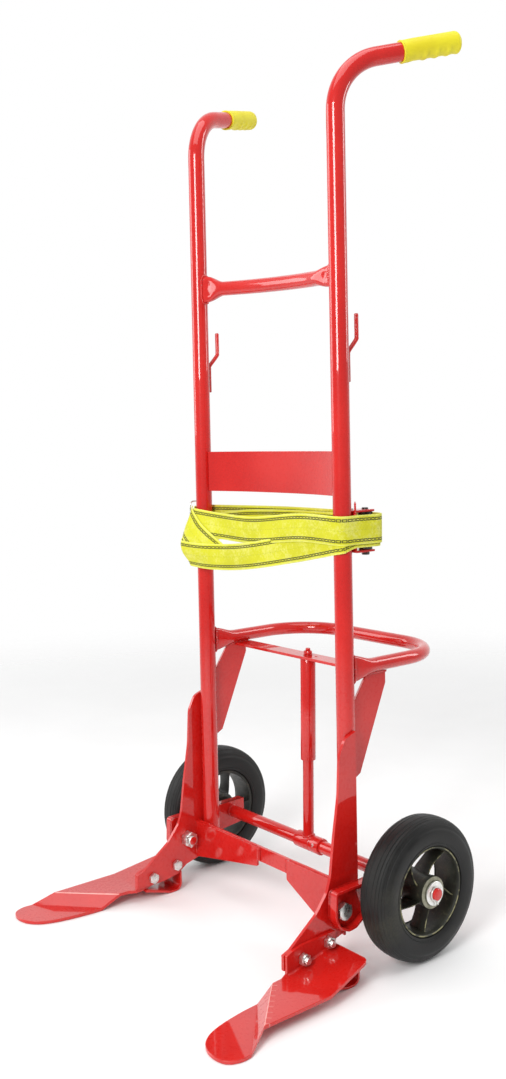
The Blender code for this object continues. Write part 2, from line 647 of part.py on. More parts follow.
def armOutline():
    """Side view of a swing arm, open at the rear, from the pivot round to the axle."""
    front, rear = PIVOT_Y, AXLE_Y
    top, axle = PIVOT_Z, WHEEL_RADIUS
    return [(rear + 29 * MM, axle + 22 * MM), (front - 26 * MM, top + 41 * MM), (front - 28 * MM, top - 7 * MM),
            (front - 18 * MM, top - 25 * MM), (front + 4 * MM, top - 35 * MM), (front + 22 * MM, top - 33 * MM),
            (front + 38 * MM, top - 23 * MM), (rear - 23 * MM, axle - 32 * MM), (rear + 29 * MM, axle - 26 * MM)]


def makeArm(side, name, root, cutters):
    """Pressed arm: a flat web with a lip standing outwards along its top, front and bottom."""
    outline = armOutline()
    corners = {1: 9 * MM, 2: 10 * MM, 3: 12 * MM, 4: 10 * MM, 5: 8 * MM}
    centre = Vector((PIVOT_Y / 2 + AXLE_Y / 2, (PIVOT_Z + WHEEL_RADIUS) / 2))
    t = ARM_THICKNESS
    holes = [roundHole(PIVOT_Y, PIVOT_Z, PIVOT_BOLT_DIAMETER / 2 + BORE_GAP, 24),
             roundHole(AXLE_Y, WHEEL_RADIUS, AXLE_DIAMETER / 2 + GAP, 24)]
    pivot = (0, PIVOT_Y, PIVOT_Z)
    edge = rounded(outline, corners, steps=2)
    arm = finishMesh(name, plate(edge, side * ARM_INNER_X, side * ARM_WEB_X, holes=holes), RED, root, pivot=pivot)
    inside = []
    for i, point in enumerate(edge):
        before, after = Vector(edge[max(i - 1, 0)]), Vector(edge[min(i + 1, len(edge) - 1)])
        run = (after - before).normalized()
        normal = Vector((-run.y, run.x))
        if normal.dot(centre - Vector(point)) < 0:
            normal = -normal
        inside.append(tuple(Vector(point) + normal * t))
    lip = plate(edge + inside[::-1], side * (ARM_INNER_X + t / 2), side * (ARM_INNER_X + ARM_DEPTH))
    start = -side * (ARM_INNER_X - PLATE_OUTER_X - GAP)
    boss = turned([(start, PIVOT_BOLT_DIAMETER / 2 + BORE_GAP), (start, ARM_BOSS_RADIUS), (side * t / 2, ARM_BOSS_RADIUS),
                   (side * t / 2, PIVOT_BOLT_DIAMETER / 2 + BORE_GAP)], (side * ARM_INNER_X, PIVOT_Y, PIVOT_Z), closed=True)
    parts = [finishMesh(f"{name}_lip", lip, RED, root), finishMesh(f"{name}_boss", boss, RED, root)]
    cutOrJoin(arm, parts, "UNION", cutters)
    return arm


def makeAxle(name, root):
    r = AXLE_DIAMETER / 2
    shoulder, tube = ARM_INNER_X - 2 * GAP, AXLE_TUBE_DIAMETER / 2
    steps = [(-AXLE_END_X, r - 1.5 * MM), (-AXLE_END_X + 1.5 * MM, r), (-shoulder, r), (-shoulder, tube),
             (shoulder, tube), (shoulder, r), (AXLE_END_X - 1.5 * MM, r), (AXLE_END_X, r - 1.5 * MM)]
    centre = (0, AXLE_Y, WHEEL_RADIUS)
    return finishMesh(name, turned(steps, centre), RED, root, smooth=True, pivot=centre)


def makeSleeve(name, root):
    bore = AXLE_TUBE_DIAMETER / 2 + AXLE_GAP
    half = SLEEVE_HALF_LENGTH
    steps = [(-half, bore), (-half, SLEEVE_RADIUS - 1 * MM), (-half + 1.5 * MM, SLEEVE_RADIUS),
             (half - 1.5 * MM, SLEEVE_RADIUS), (half, SLEEVE_RADIUS - 1 * MM), (half, bore)]
    centre = (STRUT_X - 8 * MM, AXLE_Y, WHEEL_RADIUS)
    return finishMesh(name, turned(steps, centre, closed=True), RED, root, smooth=True)


def collarSpan():
    start = STRUT_X - 8 * MM + SLEEVE_HALF_LENGTH + 1.0 * MM
    return start, start + COLLAR_LENGTH


def makeCollar(name, root, cutters):
    low, high = collarSpan()
    bore = AXLE_TUBE_DIAMETER / 2 + GAP
    middle = (low + high) / 2
    half = COLLAR_LENGTH / 2
    steps = [(-half, bore), (-half, COLLAR_RADIUS - 1 * MM), (-half + 1 * MM, COLLAR_RADIUS),
             (half - 1 * MM, COLLAR_RADIUS), (half, COLLAR_RADIUS - 1 * MM), (half, bore)]
    centre = (middle, AXLE_Y, WHEEL_RADIUS)
    collar = finishMesh(name, turned(steps, centre, closed=True), RED, root, smooth=True)
    drill = turned([(bore - 2 * MM, 3.3 * MM), (COLLAR_RADIUS + 2 * MM, 3.3 * MM)], (0, 0, 0), count=12, axis="Z")
    aimAtFront(drill, centre)
    cutOrJoin(collar, [finishMesh(f"{name}_drill", drill, RED, root)], "DIFFERENCE", cutters)
    return collar


def aimAtFront(mesh, centre):
    """Turn a Z-axis piece about X so that it points forward and up, then move it."""
    angle = math.radians(75)
    for v in mesh.verts:
        y, z = v.co.y, v.co.z
        v.co.y = y * math.cos(angle) - z * math.sin(angle)
        v.co.z = y * math.sin(angle) + z * math.cos(angle)
        v.co += Vector(centre)


def makeSetScrew(name, root):
    low, high = collarSpan()
    start = AXLE_TUBE_DIAMETER / 2 + GAP
    steps = [(start, 2.2 * MM), (start + 0.8 * MM, 3 * MM), (COLLAR_RADIUS + 0.5 * MM, 3 * MM)]
    screw = turned(steps, (0, 0, 0), count=12, axis="Z")
    aimAtFront(screw, ((low + high) / 2, AXLE_Y, WHEEL_RADIUS))
    return finishMesh(name, screw, ZINC, root)


def wheelCentre(side):
    return (side * WHEEL_X, AXLE_Y, WHEEL_RADIUS)


def makeTyre(side, name, root):
    half, outer = WHEEL_WIDTH / 2, WHEEL_RADIUS
    inner = RIM_RADIUS + GAP
    profile = [(-half + 7 * MM, inner), (-half + 1 * MM, inner + 6 * MM), (-half, inner + 16 * MM),
               (-half + 1.5 * MM, outer - 18 * MM), (-half + 6.5 * MM, outer - 8 * MM), (-half + 14 * MM, outer - 2.6 * MM),
               (-10 * MM, outer - 0.4 * MM), (0, outer)]
    profile = profile + [(-a, r) for a, r in profile[-2::-1]]
    mesh = turned(profile, wheelCentre(side), count=40, closed=True)
    return finishMesh(name, mesh, RUBBER, root, smooth=True, pivot=wheelCentre(side))


def spokeWindow(number, hub, edge, count=5):
    """One curved opening between two swept spokes."""
    pitch = 2 * math.pi / count
    width = SPOKE_WIDTH
    points = []
    steps = 6
    for k in range(steps + 1):
        r = hub + (edge - hub) * k / steps
        lean = 0.28 * (k / steps) ** 1.5
        points.append((r, number * pitch + lean + width / 2 / r))
    for k in range(steps + 1):
        r = edge - (edge - hub) * k / steps
        lean = 0.28 * (1 - k / steps) ** 1.5
        points.append((r, (number + 1) * pitch + lean - width / 2 / r))
    ring = [(r * math.cos(a), r * math.sin(a)) for r, a in points[:steps + 1]]
    a0, a1 = points[steps][1], points[steps + 1][1]
    ring += [(edge * math.cos(a0 + (a1 - a0) * k / 6), edge * math.sin(a0 + (a1 - a0) * k / 6)) for k in range(1, 6)]
    ring += [(r * math.cos(a), r * math.sin(a)) for r, a in points[steps + 1:]]
    return ring


def makeRim(side, name, root, cutters):
    centre = wheelCentre(side)
    bore = AXLE_DIAMETER / 2 + BORE_GAP
    hubHalf = 35 * MM
    windows = [[(AXLE_Y + a, WHEEL_RADIUS + b) for a, b in spokeWindow(n, HUB_RADIUS + 1 * MM, RIM_RADIUS - 7 * MM)]
               for n in range(5)]
    disc = [(AXLE_Y + a, WHEEL_RADIUS + b) for a, b in circle(RIM_RADIUS - 3 * MM, 40)]
    x = centre[0]
    web = plate(disc, x - SPOKE_DEPTH / 2, x + SPOKE_DEPTH / 2, holes=windows + [roundHole(AXLE_Y, WHEEL_RADIUS, bore, 24)])
    rim = finishMesh(name, web, CASTING, root, pivot=centre)
    half = WHEEL_WIDTH / 2 - 5 * MM
    ring = [(-half, RIM_RADIUS - 5 * MM), (-half, RIM_RADIUS), (half, RIM_RADIUS), (half, RIM_RADIUS - 5 * MM)]
    inward = WHEEL_X - ARM_WEB_X - 0.8 * MM
    hub = [(-side * inward, bore), (-side * inward, 14.5 * MM), (-side * hubHalf, 14.5 * MM), (-side * (hubHalf - 8 * MM), HUB_RADIUS), (side * (hubHalf - 3 * MM), HUB_RADIUS),
           (side * hubHalf, HUB_RADIUS - 3 * MM), (side * hubHalf, bore)]
    ringPart = finishMesh(f"{name}_ring", turned(ring, centre, count=40, closed=True), CASTING, root)
    hubPart = finishMesh(f"{name}_hub", turned(hub, centre, closed=True), CASTING, root)
    cutOrJoin(rim, [ringPart, hubPart], "UNION", cutters)
    return rim


def washerSpan():
    start = WHEEL_X + 35 * MM + 0.6 * MM
    return start, start + 3 * MM


def makeWasher(side, name, root):
    low, high = washerSpan()
    bore = AXLE_DIAMETER / 2 + GAP
    steps = [(side * low, bore), (side * low, 21 * MM), (side * high, 21 * MM), (side * high, bore)]
    mesh = turned(steps, (0, AXLE_Y, WHEEL_RADIUS), closed=True)
    return finishMesh(name, mesh, ZINC, root)


def makeCotter(side, name, root):
    x = side * (washerSpan()[1] + 2.2 * MM)
    r = AXLE_DIAMETER / 2 + 1.5 * MM
    c, z = AXLE_Y, WHEEL_RADIUS
    path = []
    for k in range(9):
        angle = math.radians(-60 + 300 * k / 8)
        path.append((x, c + r * math.cos(angle - math.pi / 2), z + r * math.sin(angle - math.pi / 2)))
    ring = [(x, c + r * math.cos(math.radians(a)), z + r * math.sin(math.radians(a))) for a in range(-60, 241, 20)]
    tail = [(x, c + 3.4 * MM, z - r - 8 * MM)]
    mesh = sweep(tail + ring + [(x, c - 3.4 * MM, z - r - 8 * MM)], circle(1.3 * MM, 8), up=(1, 0, 0))
    return finishMesh(name, mesh, ZINC, root, smooth=True)


# ---------------------------------------------------------------- strut

def makeStrutUpper(name, root):
    top = STRUT_TOP - STRUT_BAR_THICKNESS - BORE_GAP
    bore = STRUT_INNER_DIAMETER / 2 + 0.5 * MM
    r = STRUT_OUTER_DIAMETER / 2
    roof = top - 10 * MM
    steps = [(roof, bore), (STRUT_STEP_HEIGHT, bore), (STRUT_STEP_HEIGHT, r), (top, r), (top, 5 * MM),
             (STRUT_TOP + 13 * MM, 5 * MM), (STRUT_TOP + 14 * MM, 4 * MM)]
    centre = (STRUT_X, STRUT_Y, 0)
    mesh = bmesh.new()
    rings = [[Vector(centre) + Vector((a, b, z)) for a, b in circle(radius)] for z, radius in steps]
    joinRings(mesh, rings, closed=False)
    leanStrut(mesh)
    return finishMesh(name, mesh, RED, root, smooth=True, pivot=(STRUT_X, STRUT_Y, STRUT_TOP))


def leanStrut(mesh):
    """Shear a vertical strut piece so that its axis runs from the bar to the axle."""
    lean = (STRUT_Y - AXLE_Y) / (STRUT_TOP - WHEEL_RADIUS)
    for v in mesh.verts:
        v.co.y -= lean * (STRUT_TOP - v.co.z)


def makeStrutLower(name, root, cutters):
    r = STRUT_INNER_DIAMETER / 2
    mesh = turned([(WHEEL_RADIUS + 4 * MM, r), (STRUT_ROD_TOP - 1 * MM, r), (STRUT_ROD_TOP, r - 1 * MM)],
                  (STRUT_X, STRUT_Y, 0), axis="Z")
    leanStrut(mesh)
    rod = finishMesh(name, mesh, RED, root, smooth=True)
    saddle = turned([(-40 * MM, SLEEVE_RADIUS + GAP), (40 * MM, SLEEVE_RADIUS + GAP)],
                    (STRUT_X, AXLE_Y, WHEEL_RADIUS), count=SIDES)
    cutOrJoin(rod, [finishMesh(f"{name}_saddle", saddle, RED, root)], "DIFFERENCE", cutters)
    return rod


def makeStudNut(name, root):
    low = STRUT_TOP + BORE_GAP
    steps = [(low, 5 * MM + GAP), (low, 9 * MM), (low + 2 * MM, 9 * MM), (low + 2 * MM, 8 * MM), (low + 9 * MM, 8 * MM),
             (low + 9 * MM, 5 * MM + GAP)]
    mesh = turned(steps, (STRUT_X, STRUT_Y, 0), axis="Z", closed=True, flats={3, 4})
    return finishMesh(name, mesh, RED, root)


def springSpan():
    low = STRUT_ROD_TOP + SPRING_WIRE / 2 + GAP
    high = STRUT_TOP - STRUT_BAR_THICKNESS - BORE_GAP - 10 * MM - SPRING_WIRE / 2 - GAP
    return low, high


def makeSpring(name, root):
    low, high = springSpan()
    path = []
    steps = SPRING_TURNS * 10
    for k in range(steps + 1):
        t = k / steps
        angle = 2 * math.pi * SPRING_TURNS * t
        path.append((STRUT_X + SPRING_RADIUS * math.cos(angle) * 0.9, STRUT_Y + SPRING_RADIUS * math.sin(angle) * 0.9,
                     low + (high - low) * t))
    mesh = sweep(path, circle(SPRING_WIRE / 2, 6))
    leanStrut(mesh)
    return finishMesh(name, mesh, STEEL, root, smooth=True)


# ---------------------------------------------------------------- webbing and winch

def loopPath(extra):
    """Closed path round both uprights and the winch drum, extra outside them."""
    r = TUBE_RADIUS + extra
    left, right, drum = Vector((-HALF_SPACING, 0)), Vector((HALF_SPACING, 0)), Vector((WINCH_X, WINCH_Y))
    rd = WINCH_DRUM_RADIUS + extra
    circles = [(left, r), (right, r), (drum, rd)]
    points = []
    angles = []
    for n in range(3):
        (a, ra), (b, rb) = circles[n], circles[(n + 1) % 3]
        line = b - a
        tilt = math.acos((ra - rb) / line.length)
        angles.append(math.atan2(line.y, line.x) - tilt)
    for n in range(3):
        centre, radius = circles[n]
        start, end = angles[n - 1], angles[n]
        while end < start:
            end += 2 * math.pi
        steps = max(3, int((end - start) / 0.3))
        for k in range(steps + 1):
            a = start + (end - start) * k / steps
            points.append(centre + radius * Vector((math.cos(a), math.sin(a))))
    dense = []
    for n, p in enumerate(points):
        q = points[(n + 1) % len(points)]
        parts = max(1, int((q - p).length / (38 * MM)))
        dense += [p + (q - p) * k / parts for k in range(parts)]
    return dense


def upperHeight(p):
    across = p.x / HALF_SPACING
    ripple = 5 * MM * math.sin(1.4 * math.pi * across - 0.6) if p.y < 0 else 2 * MM
    return WEB_UPPER_HEIGHT + ripple * max(0.0, 1 - abs(across) ** 4)


def lowerHeight(p):
    left, right = WEB_LOWER_LEFT_HEIGHT, WEB_LOWER_RIGHT_HEIGHT
    across = min(1.0, max(0.0, (p.x + HALF_SPACING) / (2 * HALF_SPACING)))
    front = left + (right - left) * across ** 1.25
    back = left + (right - left) * (0.55 + 0.45 * across)
    behind = min(1.0, max(0.0, (p.y + TUBE_RADIUS) / (2 * TUBE_RADIUS)))
    return front + (back - front) * behind


def makeLoop(name, root, extra, height):
    flat = loopPath(extra + WEB_THICKNESS / 2)
    path = [(p.x, p.y, height(p)) for p in flat]
    half, thick = WEB_WIDTH / 2, WEB_THICKNESS / 2
    mesh = bmesh.new()
    rings = []
    for n, p in enumerate(path):
        ahead, behind = Vector(path[(n + 1) % len(path)]), Vector(path[n - 1])
        along = ahead - behind
        side = Vector((along.y, -along.x, 0)).normalized()
        p = Vector(p)
        rings.append([p + side * a + Vector((0, 0, b)) for a, b in
                      ((-thick, -half), (thick, -half), (thick, half), (-thick, half))])
    joinRings(mesh, rings, closed=True)
    return finishMesh(name, mesh, WEBBING, root)


def makeFlap(name, root):
    """Slack end of the webbing, folded down across the left of the front."""
    start, end = FLAP_START, FLAP_END
    run = (end - start).normalized()
    side = Vector((-run.y, run.x))
    steps, columns = 10, 7
    mesh = bmesh.new()
    rings = []
    for k in range(steps + 1):
        middle = start + (end - start) * k / steps
        front, back = [], []
        for c in range(columns + 1):
            across = middle + side * WEB_WIDTH * (c / columns - 0.5)
            for out, row in ((FLAP_OFFSET + WEB_THICKNESS, front), (FLAP_OFFSET, back)):
                radius = TUBE_RADIUS + out
                over = -HALF_SPACING - across.x
                if over > 0:
                    turn = min(over / (TUBE_RADIUS + FLAP_OFFSET), 0.6 * math.pi)
                    x, y = -HALF_SPACING - radius * math.sin(turn), -radius * math.cos(turn)
                else:
                    x, y = across.x, -radius
                row.append(Vector((x, y, across.y)))
        rings.append(front + back[::-1])
    joinRings(mesh, rings, closed=False)
    return finishMesh(name, mesh, WEBBING, root)


def makeWinchBracket(name, root):
    back = TUBE_RADIUS + GAP
    reach = WINCH_Y + 10 * MM
    p = WINCH_PLATE
    outline = [(back, WINCH_BOTTOM), (reach, WINCH_BOTTOM), (reach, WINCH_BOTTOM + p), (back + p, WINCH_BOTTOM + p),
               (back + p, WINCH_TOP - p), (reach, WINCH_TOP - p), (reach, WINCH_TOP), (back, WINCH_TOP)]
    mesh = plate(outline, WINCH_X - 18 * MM, WINCH_X + 14 * MM)
    return finishMesh(name, mesh, RED, root)


def drillBracket(bracket, root, cutters):
    drills = []
    for word, x, y, r in (("shaft", WINCH_X, WINCH_Y, 6 * MM + BORE_GAP), ("pin", *pawlPlace(), 2.6 * MM)):
        rod = turned([(WINCH_BOTTOM - 5 * MM, r), (WINCH_TOP + 5 * MM, r)], (x, y, 0), axis="Z", count=20)
        drills.append(finishMesh(f"{bracket.name}_{word}_drill", rod, RED, root))
    cutOrJoin(bracket, drills, "DIFFERENCE", cutters)


def ratchetLevel():
    high = WINCH_TOP - WINCH_PLATE - 0.6 * MM
    return high - 4.5 * MM, high


def makeSpool(name, root, cutters):
    low, high = WINCH_BOTTOM + WINCH_PLATE + 0.6 * MM, ratchetLevel()[0]
    shaft = 6 * MM
    steps = [(WINCH_BOTTOM - 6 * MM, 7.5 * MM), (WINCH_BOTTOM - 1 * MM, 7.5 * MM), (WINCH_BOTTOM - 1 * MM, shaft),
             (low, shaft), (low, WINCH_DRUM_RADIUS), (high, WINCH_DRUM_RADIUS), (high, shaft),
             (WINCH_TOP + 2 * MM, shaft), (WINCH_TOP + 3 * MM, shaft - 1 * MM)]
    mesh = turned(steps, (WINCH_X, WINCH_Y, 0), axis="Z", flats={0, 1})
    pivot = (WINCH_X, WINCH_Y, WINCH_TOP)
    spool = finishMesh(name, mesh, STEEL, root, smooth=True, pivot=pivot)
    teeth, outline = 10, []
    for n in range(teeth):
        a = 2 * math.pi * n / teeth
        for da, r in ((0.0, 10.2 * MM), (0.1, 13.6 * MM), (0.55, 10.6 * MM)):
            outline.append((WINCH_X + r * math.cos(a + da), WINCH_Y + r * math.sin(a + da)))
    bottom, top = ratchetLevel()
    wheel = finishMesh(f"{name}_teeth", plate(outline, bottom - 0.5 * MM, top, axis="Z"), STEEL, root)
    cutOrJoin(spool, [wheel], "UNION", cutters)
    return spool


def pawlPlace():
    return WINCH_X - 12.5 * MM, WINCH_Y - 22 * MM


def makePawl(name, root):
    x, y = pawlPlace()
    bottom, top = ratchetLevel()
    ring = [(x - 5 * MM, y - 3 * MM), (x + 3 * MM, y - 5 * MM), (x + 6 * MM, y), (x + 5.5 * MM, y + 7.5 * MM),
            (x + 2.5 * MM, y + 10.5 * MM), (x - 4 * MM, y + 5 * MM)]
    mesh = plate(ring, bottom + 0.3 * MM, top - 0.2 * MM, axis="Z", holes=[roundHole(x, y, 2.6 * MM, 12)])
    return finishMesh(name, mesh, STEEL, root, pivot=(x, y, top))


def makePawlPin(name, root):
    x, y = pawlPlace()
    steps = [(ratchetLevel()[0] - 1 * MM, 2.2 * MM), (WINCH_TOP + 0.4 * MM, 2.2 * MM), (WINCH_TOP + 0.4 * MM, 4 * MM),
             (WINCH_TOP + 2 * MM, 4 * MM)]
    return finishMesh(name, turned(steps, (x, y, 0), axis="Z", count=16), ZINC, root, smooth=True)


def makeWireHook(name, root):
    x = -HALF_SPACING - TUBE_RADIUS - FLAP_OFFSET - WEB_THICKNESS - 1.6 * MM - BORE_GAP
    low, high, front, back = 700 * MM, 801 * MM, -16 * MM, 14 * MM
    corners = [(front, low), (back, low), (back, high), (front, high)]
    outline = rounded(corners, {0: 9 * MM, 1: 9 * MM, 2: 9 * MM, 3: 9 * MM}, steps=4)
    mesh = sweep([(x, y, z) for y, z in outline], circle(1.6 * MM, 8), closed=True, up=(1, 0, 0))
    return finishMesh(name, mesh, ZINC, root, smooth=True)


# ---------------------------------------------------------------- assembly

def build():
    for leftover in list(bpy.data.objects):
        bpy.data.objects.remove(leftover, do_unlink=True)
    root = bpy.data.collections.new("hand_truck")
    cutters = bpy.data.collections.new("cutters")
    bpy.context.scene.collection.children.link(root)
    bpy.context.scene.collection.children.link(cutters)

    makeCrossTube("cross_tube", root)
    makeBackPlate("back_plate", root)
    makeBow("bow_tube", root)
    makeStrutBar("strut_bar", root)
    makeLowerBar("lower_bar", root)
    for side, word in ((-1, "left"), (1, "right")):
        makeUpright(side, f"upright_{word}", root)
        makeGrip(side, f"grip_{word}", root)
        makeHook(side, f"hook_{word}", root)
        makeBrace(side, f"brace_{word}", root)
        makeSidePlate(side, f"side_plate_{word}", root)
        makeGusset(word, side, f"gusset_{word}", root)
        makeToe(side, f"toe_{word}", root, cutters)
        makeHeel(side, f"heel_{word}", root)
        makeFasteners(side, word, root)
        makeArm(side, f"swing_arm_{word}", root, cutters)
        makeTyre(side, f"tyre_{word}", root)
        makeRim(side, f"rim_{word}", root, cutters)
        makeWasher(side, f"axle_washer_{word}", root)
        makeCotter(side, f"cotter_{word}", root)
    makeAxle("axle", root)
    makeSleeve("strut_sleeve", root)
    makeCollar("axle_collar", root, cutters)
    makeSetScrew("collar_screw", root)
    makeStrutUpper("strut_upper", root)
    makeStrutLower("strut_lower", root, cutters)
    makeStudNut("stud_nut", root)
    makeSpring("strut_spring", root)
    makeLoop("strap_lower", root, BORE_GAP, lowerHeight)
    makeLoop("strap_upper", root, 2 * BORE_GAP + WEB_THICKNESS, upperHeight)
    makeFlap("strap_flap", root)
    drillBracket(makeWinchBracket("winch_bracket", root), root, cutters)
    makeSpool("winch_spool", root, cutters)
    makePawl("winch_pawl", root)
    makePawlPin("pawl_pin", root)
    makeWireHook("wire_hook", root)

    frame = bpy.data.objects.new("truck_origin", None)
    root.objects.link(frame)
    frame.location = (0, -DEPTH_CENTRE, 0)
    for collection in (root, cutters):
        for thing in collection.objects:
            if thing.type == "MESH":
                thing.parent = frame
    bpy.context.view_layer.update()


build()
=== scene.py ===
import math

import bmesh
import bpy
from mathutils import Matrix, Vector, noise


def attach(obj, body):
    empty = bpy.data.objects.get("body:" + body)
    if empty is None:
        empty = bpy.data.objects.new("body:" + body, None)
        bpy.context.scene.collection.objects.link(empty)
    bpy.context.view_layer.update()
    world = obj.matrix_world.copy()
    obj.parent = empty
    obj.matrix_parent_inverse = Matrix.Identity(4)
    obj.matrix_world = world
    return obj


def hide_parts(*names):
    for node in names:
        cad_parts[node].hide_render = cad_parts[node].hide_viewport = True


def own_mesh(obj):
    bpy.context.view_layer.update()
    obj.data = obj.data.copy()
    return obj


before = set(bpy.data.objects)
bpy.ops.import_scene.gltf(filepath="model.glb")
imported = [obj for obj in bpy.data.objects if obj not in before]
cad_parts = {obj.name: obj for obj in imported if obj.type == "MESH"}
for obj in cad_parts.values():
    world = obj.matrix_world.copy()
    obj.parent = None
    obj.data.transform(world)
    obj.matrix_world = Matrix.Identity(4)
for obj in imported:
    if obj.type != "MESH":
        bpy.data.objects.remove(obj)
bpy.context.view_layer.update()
print("frame loaded")

# Lengths below are in mm, x to the right, y rearwards from the uprights' axis, z up from the floor.
mm = 0.001
rearward = 52
sides = {"left": -1, "right": 1}


def spot(x, y, z):
    return Vector((x, y + rearward, z)) * mm


def mix(a, b, t):
    return a + (b - a) * t


def smooth(t):
    t = min(1.0, max(0.0, t))
    return t * t * (3 - 2 * t)


def along(table, x):
    if x <= table[0][0]:
        return table[0][1]
    for i, ((x0, y0), (x1, y1)) in enumerate(zip(table, table[1:])):
        if x <= x1:
            before, after = table[max(i - 1, 0)], table[min(i + 2, len(table) - 1)]
            start, end = (y1 - before[1]) / (x1 - before[0]), (after[1] - y0) / (after[0] - x0)
            run, t = x1 - x0, (x - x0) / (x1 - x0)
            return (y0 * (1 + 2 * t) * (1 - t) ** 2 + y1 * t * t * (3 - 2 * t)
                    + run * t * (1 - t) * (start * (1 - t) - end * t))
    return table[-1][1]


# Material wiring

class Wire:
    def __init__(self, look, socket):
        self.look, self.socket = look, socket

    def math(self, operation, other=0.0, swap=False):
        return self.look.node("Math", [other, self] if swap else [self, other], operation=operation)

    def __add__(self, other):
        return self.math("ADD", other)

    def __sub__(self, other):
        return self.math("SUBTRACT", other)

    def __rsub__(self, other):
        return self.math("SUBTRACT", other, swap=True)

    def __mul__(self, other):
        return self.math("MULTIPLY", other)

    def __truediv__(self, other):
        return self.math("DIVIDE", other)

    def __pow__(self, other):
        return self.math("POWER", other)

    __radd__ = __add__
    __rmul__ = __mul__

    def less(self, edge):
        return self.math("LESS_THAN", edge)

    def more(self, edge):
        return self.math("GREATER_THAN", edge)

    def size(self):
        return self.math("ABSOLUTE")

    def wave(self):
        return self.math("SINE")

    def part(self):
        return self.math("FRACT")

    def ramp(self, low, high, start=0.0, end=1.0):
        return self.look.node("MapRange", [self, low, high, start, end], interpolation_type="SMOOTHSTEP")


class Look:
    def __init__(self, name, **settings):
        self.material = bpy.data.materials.new(name)
        self.material.use_nodes = True
        self.tree = self.material.node_tree
        self.shader = self.tree.nodes["Principled BSDF"]
        for key, value in settings.items():
            self.shader.inputs[key].default_value = value

    def node(self, kind, ins=(), out=0, **settings):
        made = self.tree.nodes.new("ShaderNode" + kind)
        for key, value in settings.items():
            setattr(made, key, value)
        for key, value in (ins.items() if isinstance(ins, dict) else enumerate(ins)):
            if isinstance(value, Wire):
                self.tree.links.new(value.socket, made.inputs[key])
            else:
                made.inputs[key].default_value = value
        return Wire(self, made.outputs[out])

    def place(self):
        return self.node("TexCoord", out="Object")

    def axes(self, source):
        split = self.tree.nodes.new("ShaderNodeSeparateXYZ")
        self.tree.links.new(source.socket, split.inputs[0])
        return [Wire(self, socket) for socket in split.outputs]

    def noise(self, scale, detail=3.0, rough=0.55, at=None, stretch=None):
        at = at or self.place()
        if stretch:
            at = self.node("VectorMath", [at, stretch], operation="MULTIPLY")
        return self.node("TexNoise", {"Vector": at, "Scale": scale, "Detail": detail, "Roughness": rough})

    def blend(self, factor, a, b):
        made = self.tree.nodes.new("ShaderNodeMix")
        made.data_type = "RGBA"
        for key, value in ((0, factor), (6, a), (7, b)):
            if isinstance(value, Wire):
                self.tree.links.new(value.socket, made.inputs[key])
            else:
                made.inputs[key].default_value = (*value, 1.0) if isinstance(value, tuple) else value
        return Wire(self, made.outputs[2])

    def bump(self, height, distance, strength=1.0):
        return self.node("Bump", {"Height": height, "Distance": distance, "Strength": strength})

    def feed(self, **wires):
        names = {"colour": "Base Color", "roughness": "Roughness", "metallic": "Metallic", "alpha": "Alpha",
                 "normal": "Normal"}
        for key, wire in wires.items():
            self.tree.links.new(wire.socket, self.shader.inputs[names[key]])
        return self.material


def paintLook(name="red_enamel", highlightLines=None):
    look = Look(name, **{"Coat Weight": 0.9, "Coat Roughness": 0.03, "Coat IOR": 1.6,
                         "Specular IOR Level": 0.1})
    cloud = look.noise(9.0, 4.0)
    fine = look.noise(140.0, 3.0)
    colour = look.blend(cloud.ramp(0.3, 0.7), (0.53, 0.009, 0.007), (0.60, 0.014, 0.010))
    dust = look.noise(55.0, 5.0, 0.7).ramp(0.6, 0.85, 0.0, 0.06)
    colour = look.blend(dust, colour, (0.68, 0.09, 0.07))
    height = look.noise(60.0, 2.0) * 0.5 + fine * 0.12
    if highlightLines:
        # painted highlight: pale pink colour along the toe fold line, which also stands up as a ridge in the bump
        highlightMark = highlightLines(look)
        colour = look.blend(highlightMark * (fine.ramp(0.2, 0.6, 0.55, 1.0)), colour, (0.86, 0.42, 0.38))
        height = height + highlightMark * 1.2
    roughness = fine.ramp(0.3, 0.7, 0.22, 0.3) + cloud * 0.06
    return look.feed(colour=colour, roughness=roughness, normal=look.bump(height, 0.00008, 0.3))


def gripLook():
    look = Look("yellow_vinyl", **{"Specular IOR Level": 0.45})
    cloud = look.noise(22.0, 3.0)
    pebble = look.noise(900.0, 2.0)
    colour = look.blend(cloud.ramp(0.3, 0.7), (0.70, 0.60, 0.012), (0.78, 0.70, 0.018))
    grime = look.noise(70.0, 5.0, 0.65).ramp(0.58, 0.8, 0.0, 0.18)
    colour = look.blend(grime, colour, (0.50, 0.42, 0.03))
    return look.feed(colour=colour, roughness=pebble.ramp(0.3, 0.7, 0.42, 0.58),
                     normal=look.bump(pebble + look.noise(60.0, 2.0) * 0.8, 0.0002, 0.6))


